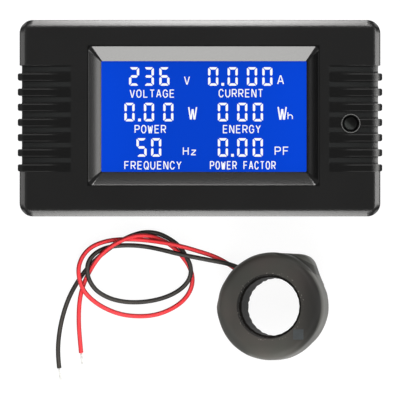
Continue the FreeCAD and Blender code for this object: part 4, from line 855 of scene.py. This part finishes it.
def stroke_plate(work, points, closed, width, low, high):
    """A stroke of even width along the points, with blunt corners, as one solid plate."""
    rings = []
    count = len(points)
    for i, point in enumerate(points):
        before = points[i - 1] if closed or i else None
        after = points[(i + 1) % count] if closed or i + 1 < count else None
        into = (point - before).normalized() if before is not None else (after - point).normalized()
        out = (after - point).normalized() if after is not None else into
        side = Vector((-into.y - out.y, into.x + out.x)).normalized()
        # At a sharp turn the corner reaches out, but to no more than 1 / 0.35 of half the width
        reach = width / 2 / max(0.35, side.dot(Vector((-into.y, into.x))))
        right, left = point + side * reach, point - side * reach
        rings.append([(*right, low), (*right, high), (*left, high), (*left, low)])
    skin(work, rings, closed)


def write_letters(work, text, left, right, low, high, face, film):
    """Plain even letters, spread from the left to the right between two heights."""
    tall = high - low
    # Tall letters are a little bolder
    stroke = 0.085 * tall + 0.065 * MM
    gaps = LETTER_GAP * (len(text) - 1)
    wide = (right - left) / (len(text) + gaps)
    y0 = low + stroke / 2
    for i, letter in enumerate(text):
        x0 = left + i * wide * (1 + LETTER_GAP) + stroke / 2
        for points in LETTERS[letter]:
            closed = points[0] == points[-1]
            spots = [
                Vector((x0 + x / LETTER_W * (wide - stroke), y0 + y / LETTER_H * (tall - stroke)))
                for x, y in (points[:-1] if closed else points)
            ]
            stroke_plate(work, spots, closed, stroke, face, face + film)


def figures(look, face):
    """All the numbers as one thin layer on the display."""
    outlines = bar_outlines(look.figure_width, look.figure_height, look.bar, look.gap)
    foot = -look.figure_height
    outlines["."] = [(0, foot), (look.bar, foot), (look.bar, foot + look.bar), (0, foot + look.bar)]
    work = bmesh.new()
    for top, row in FIGURE_ROWS:
        for figure, left in row:
            for bar in LIT_BARS[figure]:
                outline = [(left * MM + x, top * MM + y) for x, y in outlines[bar]]
                skin(work, [[(*spot, z) for spot in outline] for z in (face, face + look.film)])
    return work


def labels(look, face):
    """All the letters as one thin layer on the display."""
    work = bmesh.new()
    for text, *sides in LABELS:
        write_letters(work, text, *(side * MM for side in sides), face, look.film)
    return work


def field_material(look):
    """Polarising film over glass, lit from behind: a deep even blue, a touch stronger towards both sides
    and darker in the shade under the window's upper edge."""
    material, add, place = new_material("polariser_film_backlit")
    x, y = add("SeparateXYZ", place).outputs[:2]
    sides = add("MapRange", add("Math ABSOLUTE", x), 8 * MM, 26 * MM)
    glow = add("ValToRGB", sides, stops=[(0.0, tuple(look.blue)), (1.0, "#003fc8")])
    dye = add("ValToRGB", sides, stops=[(0.0, "#001a60"), (1.0, "#001c68")])
    shade = add("MapRange", y, 13.9 * MM, 14.2 * MM, 0.86, 0.6)
    coat(
        add, Base_Color=dye, Emission_Color=glow, Emission_Strength=shade,
        Roughness=0.22, IOR=1.49, Specular_IOR_Level=0.2,
    )
    return material


def lit_material(look):
    """Clear liquid crystal over the backlight: plain white light."""
    material, add, place = new_material("liquid_crystal_lit")
    # The cell's spacer beads, 0.3 mm apart
    beads = add("TexNoise", place, 1 / (0.3 * MM), 1.0)
    glow = add("MapRange", beads, 0, 1, 0.9, 1.02)
    white = tuple(look.white)
    coat(add, Base_Color="#2a2c30", Roughness=0.4, Emission_Color=white, Emission_Strength=glow)
    return material


class PowerMeterDisplay(bpy.types.Operator):
    """Lights the display: its blue field, its numbers, and the names and units beside them."""

    bl_idname = "power_meter.display"
    bl_label = "Display"

    def execute(self, context):
        look = context.scene.display_look
        dress(field_material(look), "lcd_front_polariser")
        dress_group("display")
        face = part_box("lcd_front_polariser")[1].z
        lit = lit_material(look)
        films = {"display_figures": figures(look, face), "display_labels": labels(look, face)}
        for name, work in films.items():
            piece = add_object(name, mesh_from(work, name, False), lit)
            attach(piece, "meter")
        return {"FINISHED"}


# Terminals and board

class PowerMeterTerminals(bpy.types.Operator):
    """Gives the terminal block, its screws and its clamps their finishes."""

    bl_idname = "power_meter.terminals"
    bl_label = "Terminals"

    def execute(self, context):
        dress_group("terminals")
        return {"FINISHED"}


class PowerMeterBoard(bpy.types.Operator):
    """Gives the circuit board and the parts soldered to it their finishes."""

    bl_idname = "power_meter.board"
    bl_label = "Board"

    def execute(self, context):
        dress_group("board")
        return {"FINISHED"}


# Sensor

def outer_shell(mesh):
    """Leaves only the mesh's widest connected skin, so that hidden hollows are dropped."""
    work = bmesh.new()
    work.from_mesh(mesh)
    bmesh.ops.remove_doubles(work, verts=work.verts, dist=1e-6)
    left = set(work.verts)
    shells = []
    while left:
        seed = left.pop()
        shell = {seed}
        edge = [seed]
        while edge:
            vert = edge.pop()
            for link in vert.link_edges:
                other = link.other_vert(vert)
                if other in left:
                    left.remove(other)
                    shell.add(other)
                    edge.append(other)
        shells.append(shell)

    def reach(shell):
        xs = [v.co.x for v in shell]
        return max(xs) - min(xs)

    keep = max(shells, key=reach)
    bmesh.ops.delete(work, geom=[v for v in work.verts if v not in keep], context="VERTS")
    work.to_mesh(mesh)
    work.free()


def ring_place(point):
    """A point as its distance from the ring's axis, its angle round that, its height over the ring's middle,
    and its outward direction."""
    away = point - RING_MIDDLE
    height = away.dot(RING_AXIS)
    flat = away - RING_AXIS * height
    right = (Vector((1, 0, 0)) - RING_AXIS * RING_AXIS.x).normalized()
    back = RING_AXIS.cross(right)
    return flat.length, math.atan2(flat.dot(back), flat.dot(right)), height, flat.normalized()


def off_axis(add, place, middle):
    """The distance from an upright line through the middle, along the ring's axis."""
    away = add("VectorMath SUBTRACT", place, tuple(middle))
    axis = add("VectorMath CROSS_PRODUCT", away, tuple(RING_AXIS))
    return add("VectorMath LENGTH", axis)


def crease(mesh, look):
    """Pulls the bore into flat facets, most at its back rim, and lets the outer skin wander a little."""
    share = math.tau / look.creases
    for vert in mesh.vertices:
        distance, angle, height, out = ring_place(vert.co)
        # The facets fade out 1.6 mm outside the bore, and no two are alike
        near_bore = interp(distance, (RING_BORE + 0.4 * MM, RING_BORE + 1.6 * MM), (1, 0))
        wander = noise.noise(Vector((math.cos(angle), math.sin(angle), 0.3)) * 3.0)
        facet = math.sin(math.pi * ((angle + 0.06 * wander) % share / share))
        low = interp(height, (-RING_HALF_HEIGHT, RING_HALF_HEIGHT), (1, 0.35))
        depth = look.crease_depth * near_bore * near_bore * facet * low * (0.8 + 0.5 * wander)
        # Elsewhere the film lies up to 0.09 mm slack, over patches of 4.5 mm
        slack = 0.09 * MM * noise.noise(vert.co / (4.5 * MM)) * (1.0 - near_bore)
        outer = interp(distance, (10.5 * MM, 13.0 * MM), (0, 1))
        stand_off = outer * MM * interp(math.degrees(angle), *zip(*SLEEVE_STAND_OFF))
        vert.co += out * (slack + stand_off - depth)


def sleeve_material(name, specular):
    """Polyolefin, shrunk on with hot air: matt charcoal, with broad cloudy tones and fine puckers at the
    bore, and painted shade and painted light over it."""
    material, add, place = new_material(name)
    x, y = add("SeparateXYZ", place).outputs[:2]
    cloud = add("TexNoise", place, 1 / (9 * MM), 3.0)
    tone = add("ValToRGB", cloud, stops=[(0.35, "#6c6c65"), (0.65, "#78706a")])
    # The film's own texture is about 0.1 mm, drawn at 0.4 mm so that it shows
    film = add("TexNoise", place, 1 / (0.4 * MM), 2.0)
    # Puckers of about 0.7 mm, from the bore's rim to 1.6 mm outside it
    radius = off_axis(add, place, RING_MIDDLE)
    rim = add("MapRange", radius, 7.2 * MM, 9.0 * MM, 1, 0)
    pucker = add("TexNoise", place, 1 / (0.7 * MM), 2.0)
    folded = add("Math MULTIPLY", rim, pucker)
    height = add("Math MULTIPLY_ADD", folded, 12.0, film)
    bump = add("Bump", Strength=0.6, Distance=0.01 * MM, Height=height)
    gloss = add("MapRange", film, 0, 1, 0.48, 0.62)
    # The film is painted darker where it turns into the bore, and within it, from a little to the left, as
    # painted shade in the bore and in the crease at its rim
    shifted_distance = off_axis(add, place, RING_MIDDLE - Vector((0.3 * MM, 0, 0)))
    turn_in = add("MapRange", shifted_distance, 7.0 * MM, 9.0 * MM)
    bore_shade = add("ValToRGB", turn_in, stops=[
        (0.0, "#4a4643"), (0.47, "#5a5552"), (0.55, "#201e1c"), (0.64, "#ffffff"),
    ])
    # It is painted lighter to the left and darker to the right, and lighter to the front, as painted light
    # and shade
    for layer in (bore_shade, greys(add, x, SLEEVE_SIDE_SHADE), greys(add, y, SLEEVE_FRONT_LIGHT)):
        tone = add("Mix RGBA", 1.0, tone, layer, blend_type="MULTIPLY")
    # It is painted paler round the outside, as painted light on its side wall
    wall_light = add("MapRange", radius, 12.8 * MM, 13.3 * MM)
    # Two stretches of its outer edge are painted dark, one in front on the left, one behind on the right, as
    # painted shade
    away = add("VectorMath SUBTRACT", place, tuple(RING_MIDDLE))
    front_left = add("VectorMath DOT_PRODUCT", away, (-0.82, -0.57, 0))
    in_front = add("MapRange", front_left, 11.4 * MM, 12.3 * MM)
    back_right = add("VectorMath DOT_PRODUCT", away, (0.45, 0.89, 0))
    behind = add("Math COMPARE", back_right, 13.1 * MM, 0.9 * MM)
    edge_shade = add("Math MAXIMUM", in_front, behind)
    # Small specks on the puckers just outside the bore are painted pale, as painted highlights
    speck = add("TexNoise", place, 1 / (0.45 * MM), 1.0)
    fleck = add("MapRange", speck, 0.66, 0.7)
    band = add("Math COMPARE", radius, 8.45 * MM, 0.35 * MM)
    speck_highlight = add("Math MULTIPLY", fleck, band)
    for cover, colour in ((wall_light, "#5d5d59"), (edge_shade, "#3a3a37"), (speck_highlight, "#706d68")):
        tone = add("Mix RGBA", cover, tone, colour)
    coat(add, Base_Color=tone, Roughness=gloss, Normal=bump, IOR=1.5, Specular_IOR_Level=specular)
    return material


class PowerMeterSleeve(bpy.types.Operator):
    """Draws the ring's shrink sleeve as a soft skin over its form, with the creases of its bore."""

    bl_idname = "power_meter.sleeve"
    bl_label = "Sensor sleeve"

    def execute(self, context):
        look = context.scene.sensor_look
        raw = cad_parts["sensor_sleeve"].data.copy()
        outer_shell(raw)
        film = sleeve_material("polyolefin_shrunk", 0.3)
        cast = add_object("sleeve_cast", raw, film)
        cells = cast.modifiers.new("cells", "REMESH")
        cells.mode = "VOXEL"
        cells.voxel_size = look.cell
        relax = cast.modifiers.new("relax", "SMOOTH")
        relax.factor = 0.5
        relax.iterations = look.relaxing
        context.view_layer.update()
        mesh = bpy.data.meshes.new_from_object(cast.evaluated_get(context.evaluated_depsgraph_get()))
        bpy.data.objects.remove(cast)
        crease(mesh, look)
        mesh.polygons.foreach_set("use_smooth", [True] * len(mesh.polygons))
        sleeve = add_object("sleeve_skin", mesh, film)
        # Drawn into the bore the film turns rough and hardly mirrors
        mesh.materials.append(sleeve_material("polyolefin_shrunk_rough", 0.05))
        for face in mesh.polygons:
            distance = ring_place(face.center)[0]
            face.material_index = int(distance < RING_BORE + 0.5 * MM)
        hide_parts("sensor_sleeve")
        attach(sleeve, "sensor")
        return {"FINISHED"}


class PowerMeterSensorParts(bpy.types.Operator):
    """Gives the ring's core, winding and joints, and its bare sticker, their finishes."""

    bl_idname = "power_meter.sensor_parts"
    bl_label = "Sensor parts"

    def execute(self, context):
        dress_group("sensor")
        return {"FINISHED"}


class PowerMeterPanel(bpy.types.Panel):
    """Lists the pieces of the set and what a user would change."""

    bl_idname = "VIEW3D_PT_power_meter"
    bl_label = "Power meter"
    bl_space_type = "VIEW_3D"
    bl_region_type = "UI"
    bl_category = "Power meter"

    def draw(self, context):
        for look in LOOKS:
            box = self.layout.box()
            group = getattr(context.scene, look)
            for prop in group.bl_rna.properties:
                if prop.identifier not in {"rna_type", "name"}:
                    box.prop(group, prop.identifier)
        for operator in OPERATORS:
            self.layout.operator(operator.bl_idname)


LOOKS = {
    "meter_look": MeterLook,
    "display_look": DisplayLook,
    "sensor_look": SensorLook,
    "lead_look": LeadLook,
    "stage_look": StageLook,
}
OPERATORS = [
    PowerMeterStage,
    PowerMeterLeads,
    PowerMeterCase,
    PowerMeterButton,
    PowerMeterDisplay,
    PowerMeterTerminals,
    PowerMeterBoard,
    PowerMeterSleeve,
    PowerMeterSensorParts,
]


def register():
    for name, look in LOOKS.items():
        bpy.utils.register_class(look)
        setattr(bpy.types.Scene, name, PointerProperty(type=look))
    for operator in OPERATORS:
        bpy.utils.register_class(operator)
    bpy.utils.register_class(PowerMeterPanel)


def unregister():
    bpy.utils.unregister_class(PowerMeterPanel)
    for operator in reversed(OPERATORS):
        bpy.utils.unregister_class(operator)
    for name, look in LOOKS.items():
        delattr(bpy.types.Scene, name)
        bpy.utils.unregister_class(look)


def main():
    register()
    for operator in OPERATORS:
        group, name = operator.bl_idname.split(".")
        getattr(getattr(bpy.ops, group), name)()


if __name__ == "__main__":
    main()
